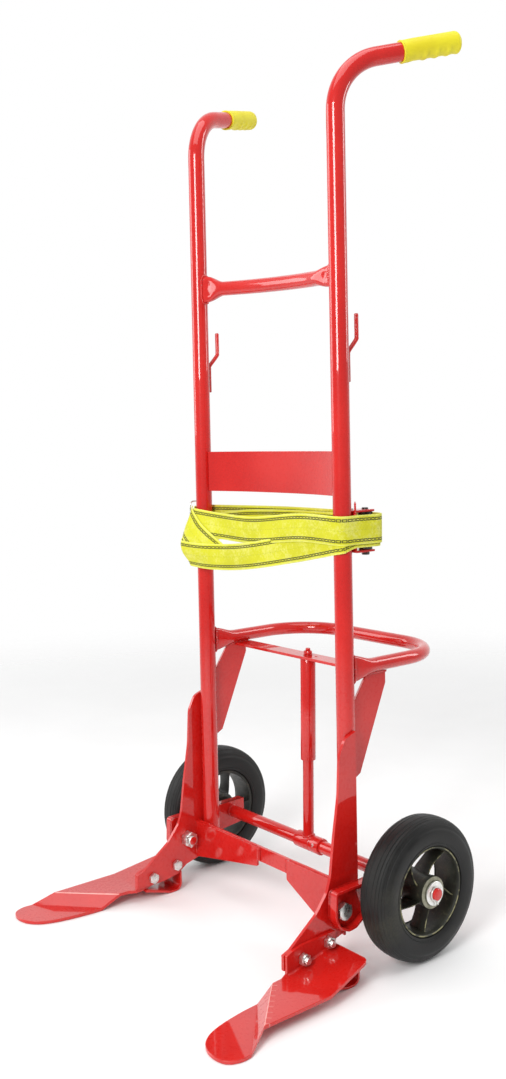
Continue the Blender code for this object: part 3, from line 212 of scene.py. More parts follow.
def webLook():
    look = Look("webbing_weave", **{"Specular IOR Level": 0.25, "Sheen Weight": 0.2, "Sheen Roughness": 0.5,
                                    "Sheen Tint": (1.0, 0.95, 0.5, 1.0)})
    u, v, _ = look.axes(look.node("TexCoord", out="UV"))
    edge = 25.0 - v.size()
    ribs = (v * 3.6).wave()
    twill = ((u * 1000 * 2.1) + (v * 1.5)).wave()
    chevron = ((u * 1000 * 1.05) + (v * 0.55).wave() * 1.6).wave()
    strand = edge - 6.6
    chainBand = 1.0 - (strand.size()).ramp(2.4, 3.0)
    loops = ((u * 1000 / 8.4).part() - 0.5).size() * 2
    chain = chainBand * (1.0 - loops.ramp(0.72, 0.95, 0.0, 0.55))
    eyelet = (1.0 - strand.size().ramp(0.8, 1.4)) * (1.0 - loops.ramp(0.45, 0.7)) * 0.9
    chain = chain * (1.0 - eyelet)
    # painted highlight: both edges of the strap are coloured paler, as lit edges; they are also raised in the bump
    selvageHighlight = 1.0 - edge.ramp(1.2, 2.0)
    faint = (1.0 - v.size().ramp(0.3, 0.8)) * (((u * 1000 / 7.0).part()).ramp(0.35, 0.5, 0.0, 0.5))
    cloud = look.noise(13.0, 4.0)
    wear = look.noise(30.0, 4.0, 0.6) * 0.5 + look.noise(230.0, 3.0, 0.7) * 0.5
    colour = look.blend(cloud.ramp(0.3, 0.7), (0.62, 0.60, 0.012), (0.74, 0.72, 0.024))
    colour = look.blend(wear.ramp(0.46, 0.64, 0.0, 0.5), colour, (0.86, 0.84, 0.30))
    colour = look.blend(ribs.ramp(-1.0, 1.0, 0.3, 0.0), colour, (0.40, 0.40, 0.008))
    colour = look.blend(twill.ramp(-1.0, 1.0, 0.16, 0.0), colour, (0.48, 0.52, 0.005))
    colour = look.blend(faint, colour, (0.40, 0.42, 0.02))
    # painted highlight on the strap edges
    colour = look.blend(selvageHighlight * 0.45, colour, (0.84, 0.88, 0.22))
    colour = look.blend(chain, colour, (0.016, 0.021, 0.016))
    height = ribs * 0.45 + twill * 0.3 + chevron * 0.2 + chain * 0.8 + selvageHighlight * 0.5
    return look.feed(colour=colour, roughness=cloud.ramp(0.3, 0.7, 0.7, 0.85) + chain * 0.1,
                     normal=look.bump(height, 0.00035, 0.9))


def zincLook(name="zinc_plate", bright=1.0, rough=0.24):
    look = Look(name, **{"Specular IOR Level": 0.5})
    cloud = look.noise(160.0, 4.0)
    stain = look.noise(60.0, 5.0, 0.7)
    a, b = tuple(c * bright for c in (0.62, 0.61, 0.58)), tuple(c * bright for c in (0.80, 0.80, 0.79))
    colour = look.blend(cloud.ramp(0.3, 0.7), a, b)
    colour = look.blend(stain.ramp(0.6, 0.85, 0.0, 0.35), colour, (0.42 * bright, 0.36 * bright, 0.28 * bright))
    return look.feed(colour=colour, roughness=cloud.ramp(0.3, 0.7, rough, rough + 0.14),
                     metallic=stain.ramp(0.5, 0.9, 0.95, 0.7),
                     normal=look.bump(look.noise(700.0, 2.0), 0.00008, 0.5))


def rubberLook():
    look = Look("tyre_rubber", **{"Specular IOR Level": 0.35})
    cloud = look.noise(16.0, 5.0, 0.62)
    speck = look.noise(260.0, 3.0)
    colour = look.blend(cloud.ramp(0.35, 0.7), (0.006, 0.006, 0.006), (0.014, 0.014, 0.013))
    film = look.noise(7.0, 3.0).ramp(0.5, 0.75, 0.0, 0.55) * speck.ramp(0.35, 0.65, 0.4, 1.0)
    colour = look.blend(film, colour, (0.050, 0.047, 0.030))
    return look.feed(colour=colour, roughness=cloud.ramp(0.3, 0.7, 0.42, 0.62),
                     normal=look.bump(speck + look.noise(1100.0, 1.0) * 0.5, 0.0002, 0.6))


def castingLook():
    look = Look("rim_casting", **{"Specular IOR Level": 0.45})
    sand = look.noise(520.0, 3.0)
    cloud = look.noise(30.0, 4.0)
    colour = look.blend(cloud.ramp(0.35, 0.65), (0.010, 0.011, 0.008), (0.026, 0.027, 0.018))
    worn = look.noise(90.0, 5.0, 0.7).ramp(0.55, 0.72, 0.0, 0.5)
    colour = look.blend(worn, colour, (0.15, 0.14, 0.08))
    return look.feed(colour=colour, roughness=sand.ramp(0.3, 0.7, 0.38, 0.58),
                     metallic=worn * 0.5, normal=look.bump(sand + cloud, 0.0004, 0.6))


def hubFaceLook():
    look = Look("hub_face", **{"Specular IOR Level": 0.45})
    sand = look.noise(420.0, 4.0)
    cloud = look.noise(85.0, 5.0, 0.65)
    colour = look.blend(cloud.ramp(0.3, 0.7), (0.17, 0.165, 0.11), (0.36, 0.35, 0.27))
    return look.feed(colour=colour, roughness=sand.ramp(0.3, 0.7, 0.4, 0.6),
                     metallic=cloud.ramp(0.3, 0.7, 0.2, 0.6), normal=look.bump(sand, 0.0004, 0.7))


def wornEdgeLook():
    look = Look("worn_edge", **{"Specular IOR Level": 0.4})
    patches = look.noise(75.0, 4.0, 0.6)
    colour = look.blend(patches.ramp(0.42, 0.6), (0.035, 0.036, 0.022), (0.30, 0.28, 0.15))
    return look.feed(colour=colour, roughness=patches.ramp(0.3, 0.7, 0.4, 0.6),
                     normal=look.bump(patches, 0.0003, 0.5))


def steelLook():
    look = Look("dark_steel", **{"Specular IOR Level": 0.5})
    cloud = look.noise(120.0, 4.0)
    colour = look.blend(cloud.ramp(0.3, 0.7), (0.05, 0.05, 0.05), (0.15, 0.145, 0.14))
    rust = look.noise(70.0, 6.0, 0.7).ramp(0.62, 0.8, 0.0, 0.4)
    colour = look.blend(rust, colour, (0.16, 0.07, 0.03))
    return look.feed(colour=colour, roughness=cloud.ramp(0.3, 0.7, 0.3, 0.48), metallic=1.0 - rust,
                     normal=look.bump(look.noise(500.0, 2.0), 0.0001, 0.5))


# Painted highlight along each toe's front fold: a pale pink line on a raised press mark, with short ticks behind it
# on the right toe.
creaseHighlight = {"start": (236, -208), "end": (331, -304), "width": 0.9,
          "tickEvery": 17, "tickLength": 9, "tickWidth": 0.7}


def creaseHighlightLines(side, ticks):
    def highlightLines(look):
        (x0, y0), (x1, y1) = creaseHighlight["start"], creaseHighlight["end"]
        run = Vector((x1 - x0, y1 - y0, 0))
        ahead = run.normalized()
        x, y, _ = look.axes(look.place())
        x, y = x * (1000 * side), y * 1000 - rearward
        down = (x - x0) * ahead.x + (y - y0) * ahead.y
        off = (x - x0) * -ahead.y + (y - y0) * ahead.x
        inside = down.more(2) * down.less(run.length - 3)
        # mask of the painted highlight line along the fold
        stroke = (1.0 - off.size().ramp(creaseHighlight["width"] * 0.6, creaseHighlight["width"] * 1.2)) * inside
        if ticks:
            comb = ((down / creaseHighlight["tickEvery"]).part() - 0.5).size() * creaseHighlight["tickEvery"]
            tick = (1.0 - comb.ramp(creaseHighlight["tickWidth"] * 0.5, creaseHighlight["tickWidth"] * 1.1)) * off.more(0)
            stroke = stroke.math("MAXIMUM", tick * off.less(creaseHighlight["tickLength"]) * inside * 0.7)
        return stroke
    return highlightLines


looks = {"red": paintLook(), "yellow": gripLook(), "web": webLook(), "zinc": zincLook(),
         "rubber": rubberLook(), "cast": castingLook(), "hub": hubFaceLook(), "worn": wornEdgeLook(),
         "steel": steelLook(),
         "brightZinc": zincLook("bright_washer", 1.15, 0.3),
         # toe paints: red enamel plus the painted highlight along the front fold
         "toeLeft": paintLook("red_enamel_toe_left", creaseHighlightLines(-1, False)),
         "toeRight": paintLook("red_enamel_toe_right", creaseHighlightLines(1, True))}
for name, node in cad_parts.items():
    node.data.materials.clear()
    node.data.materials.append(looks["steel" if name == "strut_spring" else "red"])
print("materials wired")


# Mesh helpers

def publish(name, mesh, look, body="frame", nodes=(), flat=False, bevel=0.0, angle=30, segments=2):
    bmesh.ops.remove_doubles(mesh, verts=mesh.verts, dist=1e-7)
    bmesh.ops.recalc_face_normals(mesh, faces=mesh.faces)
    data = bpy.data.meshes.new(name)
    mesh.to_mesh(data)
    mesh.free()
    thing = bpy.data.objects.new(name, data)
    bpy.context.scene.collection.objects.link(thing)
    data.materials.append(looks[look])
    if bevel:
        edge = thing.modifiers.new("edges", "BEVEL")
        edge.width, edge.segments, edge.limit_method = bevel * mm, segments, "ANGLE"
        edge.angle_limit, edge.harden_normals = math.radians(angle), True
    if not flat:
        data.shade_smooth()
        if not bevel:
            data.set_sharp_from_angle(angle=math.radians(38))
    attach(thing, body)
    if nodes:
        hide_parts(*nodes)
    return thing


def skin(rings, closed=False, mesh=None):
    mesh = mesh or bmesh.new()
    made = [[mesh.verts.new(p) for p in ring] for ring in rings]
    total, count = len(made), len(made[0])
    for r in range(total if closed else total - 1):
        low, high = made[r], made[(r + 1) % total]
        for i in range(count):
            j = (i + 1) % count
            mesh.faces.new((low[i], low[j], high[j], high[i]))
    if not closed:
        mesh.faces.new(made[0][::-1])
        mesh.faces.new(made[-1])
    return mesh


def carry(path, section, up=(0, 0, 1), closed=False):
    rings, last, up = [], None, Vector(up)
    for i, point in enumerate(path):
        after = path[(i + 1) % len(path)] if closed else path[min(i + 1, len(path) - 1)]
        before = path[i - 1] if closed or i else point
        ahead = (after - before).normalized()
        side = ahead.cross(up)
        if side.length < 1e-4:
            side = last or Vector((1, 0, 0))
        side = side.normalized()
        if last and side.dot(last) < 0:
            side = -side
        last = side
        lift = side.cross(ahead)
        outline = section(i) if callable(section) else section
        rings.append([point + (side * a + lift * b) * mm for a, b in outline])
    return rings


def ring(radius, count=40):
    angles = [math.tau * i / count for i in range(count)]
    return [(radius * math.cos(a), radius * math.sin(a)) for a in angles]


def oblong(width, height, count=48):
    # round while width and height agree, with squarer shoulders the more they differ
    power = 2 / (2 + 2.4 * min(1.0, abs(height - width) / max(height, width)))
    return [(width / 2 * math.copysign(abs(c) ** power, c), height / 2 * math.copysign(abs(s) ** power, s))
            for c, s in ring(1.0, count)]


def lathe(profile, centre, axis="x", count=64, shape=None):
    rings = []
    for n, (run, radius) in enumerate(profile):
        points = []
        for i in range(count):
            angle = math.tau * i / count
            r = shape(n, angle, radius) if shape else radius
            a, b = r * math.cos(angle), r * math.sin(angle)
            offset = {"x": (run, a, b), "y": (b, run, a), "z": (a, b, run)}[axis]
            points.append(centre + Vector(offset) * mm)
        rings.append(points)
    return rings


def sheet(outline, low, high, axis="x", holes=(), mesh=None):
    mesh = mesh or bmesh.new()

    def place(point, level):
        a, b = point
        return spot(*{"x": (level, a, b), "y": (a, level, b), "z": (a, b, level)}[axis])

    edges = []
    for loop in [outline, *holes]:
        verts = [mesh.verts.new(place(p, low)) for p in loop]
        edges += [mesh.edges.new((verts[i], verts[(i + 1) % len(verts)])) for i in range(len(verts))]
    filled = bmesh.ops.triangle_fill(mesh, use_beauty=True, use_dissolve=False, edges=edges)
    faces = [f for f in filled["geom"] if isinstance(f, bmesh.types.BMFace)]
    if not holes:
        faces = bmesh.ops.dissolve_faces(mesh, faces=faces)["region"]
    grown = bmesh.ops.extrude_face_region(mesh, geom=faces, use_keep_orig=True)
    moved = [v for v in grown["geom"] if isinstance(v, bmesh.types.BMVert)]
    bmesh.ops.translate(mesh, verts=moved, vec=place((0, 0), high) - place((0, 0), low))
    return mesh


def turn(name, profile, centre, look="red", body="frame", nodes=(), side=1, count=48, shape=None, closed=True,
         axis="x"):
    # A turned piece; profile holds (distance along the axis, radius), and side mirrors it.
    rings = lathe([(side * run, radius) for run, radius in profile], centre, axis, count, shape)
    return publish(name, skin(rings, closed=closed), look, body, nodes)


def corners(outline, radii, steps=6):
    points = []
    for i, corner in enumerate(outline):
        corner, radius = Vector(corner), radii.get(i, 0)
        if not radius:
            points.append(tuple(corner))
            continue
        before, after = Vector(outline[i - 1]) - corner, Vector(outline[(i + 1) % len(outline)]) - corner
        run = min(radius / math.tan(before.angle(after) / 2), 0.48 * before.length, 0.48 * after.length)
        start, end = corner + before.normalized() * run, corner + after.normalized() * run
        for k in range(steps + 1):
            t = k / steps
            points.append(tuple((1 - t) ** 2 * start + 2 * t * (1 - t) * corner + t ** 2 * end))
    return points


def circleAt(a, b, radius, count=28):
    return [(a + p, b + q) for p, q in ring(radius, count)]


def curve(points, steps=8, closed=False):
    points = [Vector(p) for p in points]
    made, count = [], len(points)
    for i in range(count if closed else count - 1):
        if closed:
            a, b, c, d = (points[(i + k) % count] for k in (-1, 0, 1, 2))
        else:
            a, b, c, d = points[max(i - 1, 0)], points[i], points[i + 1], points[min(i + 2, count - 1)]
        for k in range(steps):
            t = k / steps
            made.append(0.5 * ((2 * b) + (c - a) * t + (2 * a - 5 * b + 4 * c - d) * t * t
                               + (3 * b - a - 3 * c + d) * t ** 3))
    if not closed:
        made.append(points[-1])
    return made


def bead(name, points, radius=2.6, body="frame", closed=False, seed=0):
    # A run of weld: a thin round bar whose radius ripples along the joint.
    path = curve(points, 1 if len(points) > 40 else max(2, 60 // len(points)), closed)
    fine, total = [], 0.0
    for i, p in enumerate(path[:-1] if not closed else path):
        q = path[(i + 1) % len(path)]
        parts = max(1, round((q - p).length / (0.9 * mm)))
        fine += [p.lerp(q, k / parts) for k in range(parts)]
    if not closed:
        fine.append(path[-1])
    count = len(fine)

    def section(i):
        end = 1.0 if closed else smooth(min(i, count - 1 - i) / 5) * 0.75 + 0.25
        ripple = 1 + 0.11 * math.sin(i * 0.9 * math.tau / 3.1)
        ripple += 0.16 * noise.noise(fine[i] * 90 + Vector((seed, 0, 0)))
        return ring(radius * ripple * end, 10)

    return publish(name, skin(carry(fine, section, closed=closed), closed), "red", body)


def seam(name, start, step, count, radius, seed=0, body="frame"):
    # A straight weld: points from start, each one step further on.
    points = [spot(*(a + b * k for a, b in zip(start, step))) for k in range(count)]
    return bead(name, points, radius, body, seed=seed)


def hexLook(flats):
    def shape(n, angle, radius):
        local = (angle + math.pi / 6) % (math.pi / 3) - math.pi / 6
        return min(flats / 2 / math.cos(local), radius)
    return shape


# Frame tubes

handle = {"spacing": 408.6, "tube": 16.6, "wall": 2.6, "foot": 88, "corner": 1574, "bend": 100,
          "rise": math.radians(13), "splay": math.radians(22.6), "length": 243, "grip": 116, "gripRadius": 20.2}
half = handle["spacing"] / 2


def handleAxis(side):
    flat = Vector((side * math.sin(handle["splay"]), math.cos(handle["splay"]), 0))
    return flat * math.cos(handle["rise"]) + Vector((0, 0, math.sin(handle["rise"])))


def buildUpright(word, side):
    corner, ahead, down = spot(side * half, 0, handle["corner"]), handleAxis(side), Vector((0, 0, -1))
    opening = down.angle(ahead) / 2
    run = handle["bend"] * mm / math.tan(opening)
    centre = corner + (down + ahead).normalized() * handle["bend"] * mm / math.sin(opening)
    start, end = (corner + down * run - centre).normalized(), (corner + ahead * run - centre).normalized()
    path = [spot(side * half, 0, handle["foot"] + z) for z in (0, 400, 800, 1200)]
    path += [centre + start.slerp(end, k / 26) * handle["bend"] * mm for k in range(27)]
    path.append(corner + ahead * (handle["length"] - 6) * mm)
    up = (math.cos(handle["splay"]), -side * math.sin(handle["splay"]), 0)
    bend = range(4, 31)

    def wall(radius):
        def section(i):
            pinch = 0.35 * math.sin(math.pi * (i - 4) / 26) if i in bend else 0
            return [(a * (1 + pinch * 0.03), b * (1 - pinch * 0.05)) for a, b in ring(radius, 48)]
        return section

    rings = carry(path, wall(handle["tube"]), up) + carry(path, wall(handle["tube"] - handle["wall"]), up)[::-1]
    publish(f"upright_tube_{word}", skin(rings, closed=True), "red", nodes=[f"upright_{word}"])


def buildGrip(word, side):
    ahead = handleAxis(side)
    end = spot(side * half, 0, handle["corner"]) + ahead * handle["length"] * mm
    across = ahead.cross(Vector((0, 0, 1))).normalized()
    lift = across.cross(ahead)
    length, big, bore = handle["grip"], handle["gripRadius"], handle["tube"] + 0.3
    crests = [43, 66, 89, 111]

    def radius(run, angle):
        r = big - 0.9 + 0.5 * smooth(run / 30)
        under = smooth((-math.sin(angle) - 0.05) / 0.75)
        nearest = min(abs(run - c) for c in crests)
        scallop = 1.9 * math.exp(-(nearest / 4.6) ** 2) - 1.5 * (1 if run > 24 else smooth((run - 10) / 14))
        r += under * scallop
        lip = 0.7 * (1 - smooth((run - 2.2) / 1.4))
        r += lip - 0.8 * (1 - smooth(run / 0.9))
        fall = length - run
        if fall < 9:
            r -= 9 - math.sqrt(max(0.0, 81 - (9 - fall) ** 2))
        return r

    stops = [0.0, 0.4, 0.9, 1.6, 2.4, 3.2, 4.2] + [5 + (length - 14) * k / 60 for k in range(61)]
    stops += [length - 9 + 9 * math.sin(math.pi / 2 * k / 9) for k in range(1, 10)]
    rings = []
    for run in stops:
        points = []
        for c, s in ring(1.0, 64):
            r = radius(min(run, length - 0.02), math.atan2(s, c))
            points.append(end + (ahead * (run - length) + across * r * c + lift * r * s) * mm)
        rings.append(points)
    seat = [end + ahead * (-5 * mm) + (across * c + lift * s) * mm for c, s in ring(bore, 64)]
    mouth = [p - ahead * (length - 5) * mm for p in seat]
    publish(f"grip_skin_{word}", skin([seat, mouth] + rings), "yellow", nodes=[f"grip_{word}"])


crossTube = {"height": 1221.5, "tilt": 9.5, "bow": 27, "tube": 28, "endDepth": 15, "leftEnd": 52,
             "rightEnd": 38, "dimples": [(-172, 10, 4.6), (-172, -9, 4.2), (176, 3, 3.4)]}


def buildCrossTube():
    reach = half - handle["tube"] - 0.3
    steps = 72
    path = [spot(reach * t, crossTube["bow"] * (1 - t * t), crossTube["height"] - crossTube["tilt"] * t)
            for t in (-1 + 2 * k / steps for k in range(steps + 1))]
    path[0] = Vector((path[0].x, *path[1][1:]))
    path[-1] = Vector((path[-1].x, *path[-2][1:]))

    def section(i):
        t = -1 + 2 * i / steps
        squash = smooth((abs(t) - 0.74) / 0.22)
        deep, tall = crossTube["endDepth"], crossTube["leftEnd"] if t < 0 else crossTube["rightEnd"]
        return oblong(mix(crossTube["tube"], deep, squash), mix(crossTube["tube"], tall, squash), 56)

    rings = carry(path, section)
    for x, z, deep in crossTube["dimples"]:
        for points in rings:
            for p in points:
                level = crossTube["height"] - crossTube["tilt"] * p.x / mm / reach
                d = math.hypot(p.x / mm - x, p.z / mm - level - z)
                ahead = p.y / mm - rearward < crossTube["bow"] * (1 - (x / reach) ** 2)
                if d < 12 and ahead:
                    p.y += deep * mm * (1 - smooth(d / 9))
    publish("cross_tube_skin", skin(rings), "red", nodes=["cross_tube"])
    for word, side in sides.items():
        x, tall = side * (reach - 0.6), crossTube["leftEnd" if side < 0 else "rightEnd"]
        z = crossTube["height"] - crossTube["tilt"] * side
        points = [spot(x, a + 2, z + b) for a, b in oblong(crossTube["endDepth"] + 3, tall + 3, 28)]
        bead(f"cross_tube_weld_{word}", points, 2.4, closed=True, seed=side)


backPlate = {"low": 823, "high": 903, "bow": 26, "thick": 4}


def buildBackPlate():
    reach = half - handle["tube"] - 0.3
    front, back = [], []
    for k in range(49):
        t = -1 + 2 * k / 48
        y = backPlate["bow"] * (1 - abs(t) ** 2.4)
        front.append((reach * t, y))
        back.append((reach * t, y + backPlate["thick"]))
    mesh = sheet(front + back[::-1], backPlate["low"], backPlate["high"], axis="z")
    publish("back_plate_sheet", mesh, "red", nodes=["back_plate"], bevel=0.7, angle=50)
    for word, side in sides.items():
        for level in (backPlate["low"] + 12, backPlate["high"] - 30):
            start = (side * (reach - 0.4), backPlate["thick"] + 1.2, level)
            seam(f"back_plate_weld_{word}_{level}", start, (0, 0, 3), 7, 2.0, level)


hook = {"rod": 4, "y": 21.0, "offset": 21.5, "foot": 1023, "kink": 1079, "top": 1148}


def buildHook(word, side):
    x, y, out = side * half, hook["y"], hook["offset"]
    foot, kink, top = hook["foot"], hook["kink"], hook["top"]
    points = [(x, y, foot + 1.5), (x, y, foot + 20), (x, y, kink - 6), (x, y + 2, kink + 1),
              (x, y + out - 2, kink + out - 1), (x, y + out, kink + out + 6), (x, y + out, top - 20),
              (x, y + out, top - 1.5)]
    path = curve([spot(*p) for p in points], 7)
    count = len(path)

    def section(i):
        return ring(hook["rod"] * (0.72 if i in (0, count - 1) else 1), 20)

    publish(f"hook_rod_{word}", skin(carry(path, section, (1, 0, 0))), "red", nodes=[f"hook_{word}"])
    for n, shift in enumerate((-1, 1)):
        seam(f"hook_weld_{word}_{n}", (x + shift * 4.4, y - 2.6, foot + 4), (0, 0, 9), 5, 1.7, n + side)


bow = {"height": 513, "tube": 26, "reach": 275, "corner": 112, "endTall": 48, "endWide": 16, "taper": 68}


def bowHalf(y):
    start = handle["tube"] + 0.3
    return mix(bow["endTall"], bow["tube"], smooth((y - start) / (bow["taper"] - start))) / 2


def buildBow():
    start, straight = handle["tube"] + 0.3, bow["reach"] - bow["corner"]
    right = [(half, start + (straight - start) * k / 14) for k in range(15)]
    for k in range(1, 25):
        a = math.pi / 2 * k / 24
        right.append((half - bow["corner"] * (1 - math.cos(a)), straight + bow["corner"] * math.sin(a)))
    flat = right + [(-x, y) for x, y in right[::-1]]
    path = [spot(x, y, bow["height"]) for x, y in flat]

    def section(i):
        tall = 2 * bowHalf(flat[i][1])
        share = (tall - bow["tube"]) / (bow["endTall"] - bow["tube"])
        return oblong(mix(bow["tube"], bow["endWide"], share), tall, 48)

    publish("bow_tube_skin", skin(carry(path, section)), "red", nodes=["bow_tube"])
    for word, side in sides.items():
        points = [spot(side * half + a, start + 0.8, bow["height"] + b)
                  for a, b in oblong(bow["endWide"] + 2, bow["endTall"] + 2, 24)]
        bead(f"bow_weld_{word}", points, 2.4, closed=True, seed=5 + side)


brace = {"thick": 5, "foot": 313, "front": 50, "rear": 100}


def buildBrace(word, side):
    start, foot, under = handle["tube"] + 0.3, brace["foot"], bow["height"] - 0.3
    front, rear = brace["front"], brace["rear"]
    outline = [(start, foot), (start + 16, foot + 9), (rear, foot + 164), (rear, under - bowHalf(rear)),
               (front, under - bowHalf(front)), (start + 9, foot + 149), (start, foot + 137)]
    x = side * half
    mesh = sheet(outline, x - brace["thick"] / 2, x + brace["thick"] / 2)
    publish(f"brace_plate_{word}", mesh, "red", nodes=[f"brace_{word}"], bevel=0.6)
    for n, shift in enumerate((-1, 1)):
        seam(f"brace_weld_{word}_{n}", (x + shift * 3.2, start + 0.6, foot + 6), (0, 0, 12.5), 11, 2.1, n * 3 + side)
        points = [spot(x + shift * 3.2, y, under - bowHalf(y) - 0.6) for y in range(54, 98, 5)]
        bead(f"brace_top_weld_{word}_{n}", points, 1.8, seed=n * 3 + side + 9)


for word, side in sides.items():
    buildUpright(word, side)
    buildGrip(word, side)
    buildHook(word, side)
    buildBrace(word, side)
buildCrossTube()
buildBackPlate()
buildBow()
print("frame tubes built")


# Strut, its bar and the sleeve on the axle

strut = {"x": 6, "y": 90, "top": 499.7, "bar": 5.6, "barWide": 38, "outer": 15, "inner": 10.7,
         "step": 292, "rodTop": 338, "stud": 5}
axle = {"y": 82.7, "z": 127, "radius": 10.3, "tube": 12.5, "end": 345}


def lean(mesh):
    slope = (strut["y"] - axle["y"]) / (strut["top"] - axle["z"])
    for v in mesh.verts:
        v.co.y -= slope * (strut["top"] * mm - v.co.z)
    return mesh


def buildStrut():
    reach = half - brace["thick"] / 2 - 0.3
    low, high = strut["y"] - strut["barWide"] / 2, strut["y"] + strut["barWide"] / 2
    outline = [(-reach, low), (reach, low), (reach, high), (-reach, high)]
    holes = [circleAt(strut["x"], strut["y"], 6.4), circleAt(strut["x"] + 24, strut["y"], 3, 20)]
    mesh = sheet(outline, strut["top"] - strut["bar"], strut["top"], axis="z", holes=holes)
    publish("strut_bar_plate", mesh, "red", nodes=["strut_bar"], bevel=0.6, angle=40)
    for word, side in sides.items():
        start = (side * (reach - 0.8), low + 3, strut["top"] + 0.5)
        seam(f"strut_bar_weld_{word}", start, (0, 5.3, 0), 7, 2.0, side)
    roof = strut["top"] - strut["bar"] - 0.4
    centre = spot(strut["x"], strut["y"], 0)
    outer, bore = strut["outer"], strut["inner"] + 0.5
    step = strut["step"]
    profile = [(roof - 10, bore), (step, bore), (step, outer - 1.2), (step + 0.5, outer - 0.3),
               (step + 1.6, outer), (roof - 1.2, outer), (roof - 0.3, outer - 0.4), (roof, outer - 1.2),
               (roof, strut["stud"])]
    thread = [(roof + 0.3 + 0.25 * k, strut["stud"]) for k in range(int((strut["top"] + 13 - roof) / 0.25))]
    profile += thread + [(strut["top"] + 14, strut["stud"] - 1.2)]

    def shape(n, angle, radius):
        if n < 9 or n >= 9 + len(thread):
            return radius
        turn = (thread[n - 9][0] / 1.5 - angle / math.tau) % 1
        return radius - 0.75 * abs(turn * 2 - 1)

    tube = lean(skin(lathe(profile, centre, "z", 48, shape)))
    publish("strut_upper_tube", tube, "red", "strut_upper", ["strut_upper"])
    profile = [(0.4, 5.4), (0.4, 9), (1.8, 9), (1.8, 7.4), (2.6, 8.6), (8, 8.6), (8.9, 7.4), (8.9, 5.4)]
    profile = [(strut["top"] + rise, radius) for rise, radius in profile]

    def nut(n, angle, radius):
        return hexLook(15.6)(n, angle, radius) if 2 < n < 7 else radius

    turn("stud_nut_hex", profile, centre, body="strut_upper", nodes=["stud_nut"], count=60, shape=nut, axis="z")
    rod, rodTop = strut["inner"], strut["rodTop"]
    profile = [(axle["z"] + 13.2, rod), (rodTop - 1, rod), (rodTop, rod - 1)]
    tube = lean(skin(lathe(profile, centre, "z", 48)))
    publish("strut_lower_tube", tube, "red", "strut_lower", ["strut_lower"])
    # the weld follows the curve where the rod's foot meets the round sleeve
    points = [spot(strut["x"] + a, axle["y"] + b, axle["z"] + math.sqrt(16.5 ** 2 - b * b) + 0.4)
              for a, b in ring(rod + 0.9, 24)]
    bead("strut_foot_weld", points, 2.0, "strut_lower", closed=True)


spring = {"turns": 9, "wire": 3, "radius": 8.1, "travel": 9.4}


def buildSpring():
    low = strut["rodTop"] + spring["wire"] / 2 + 0.3
    high = strut["top"] - strut["bar"] - 10.7 - spring["wire"] / 2
    steps, r = spring["turns"] * 20, spring["radius"]
    path = [spot(strut["x"] + r * math.cos(k * math.tau / 20), strut["y"] + r * math.sin(k * math.tau / 20),
                 mix(low, high, k / steps)) for k in range(steps + 1)]
    mesh = lean(skin(carry(path, ring(spring["wire"] / 2, 10))))
    coil = publish("spring_coil", mesh, "steel", "strut_upper", ["strut_spring"])
    spot(strut["x"], strut["y"], high)
    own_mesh(coil)


sleeve = {"shift": -8, "half": 22, "bore": 13.2, "outer": 16.2}
collar = {"half": 13, "bore": 12.8, "outer": 16.4, "tilt": math.radians(75), "screw": 3.1}


def buildSleeve():
    middle, half, outer = strut["x"] + sleeve["shift"], sleeve["half"], sleeve["outer"]
    end = [(half - 2, outer), (half - 0.7, outer - 0.3), (half, outer - 1), (half, sleeve["bore"])]
    profile = [(-run, radius) for run, radius in end[::-1]] + end
    turn("sleeve_tube", profile, spot(middle, axle["y"], axle["z"]), body="strut_lower", nodes=["strut_sleeve"],
         count=64)
    middle, half, outer = middle + half + 1 + collar["half"], collar["half"], collar["outer"]
    end = [(half - 2, outer), (half - 0.8, outer - 0.2), (half, outer - 1.2), (half, collar["bore"])]
    profile = [(-run, radius) for run, radius in end[::-1]] + end
    centre = spot(middle, axle["y"], axle["z"])
    turn("collar_ring", profile, centre, body="carriage", nodes=["axle_collar"], count=64)
    across, ahead = Vector((1, 0, 0)), Vector((0, -math.sin(collar["tilt"]), math.cos(collar["tilt"])))
    up, screw = ahead.cross(across), collar["screw"]
    outside = [(outer - 1, screw), (outer + 0.3, screw), (outer + 0.5, screw - 0.3)]
    rings = [[centre + (ahead * run + across * a + up * b) * mm for a, b in ring(radius, 36)]
             for run, radius in outside]
    for run, flats in ((outer + 0.5, 2.9), (outer - 0.6, 2.9), (outer - 0.6, 0.35)):
        socket = [hexLook(flats)(0, math.tau * k / 36, 9) for k in range(36)]
        rings.append([centre + (ahead * run + (across * a + up * b) * r) * mm
                      for r, (a, b) in zip(socket, ring(1.0, 36))])
    publish("collar_screw_head", skin(rings), "zinc", "carriage", ["collar_screw"])


buildStrut()
buildSpring()
buildSleeve()
print("strut built")


# Foot of the frame: side plates, cross bar, gussets, toes and heels

plateInner = half + handle["tube"] + 0.3
plateOuter = plateInner + 6
flangeInner = plateOuter + 0.3
toe = {"thick": 6, "rearY": -60, "rearZ": 47, "levelY": -163, "levelZ": 26, "outer": 331, "bolt": 6.35,
       "flats": 19}
pivot = {"y": -52, "z": 105, "bolt": 9.5, "flats": 28.6}
arm = {"inner": 236.5, "thick": 5, "deep": 19.5, "boss": 14}


def toeSlope(y):
    return toe["levelZ"] + (toe["rearZ"] - toe["levelZ"]) / (toe["rearY"] - toe["levelY"]) * (y - toe["levelY"])


def toeBolts():
    return [(y, toeSlope(y) + toe["flats"] * 0.5 + 3.4) for y in (-138, -80)]


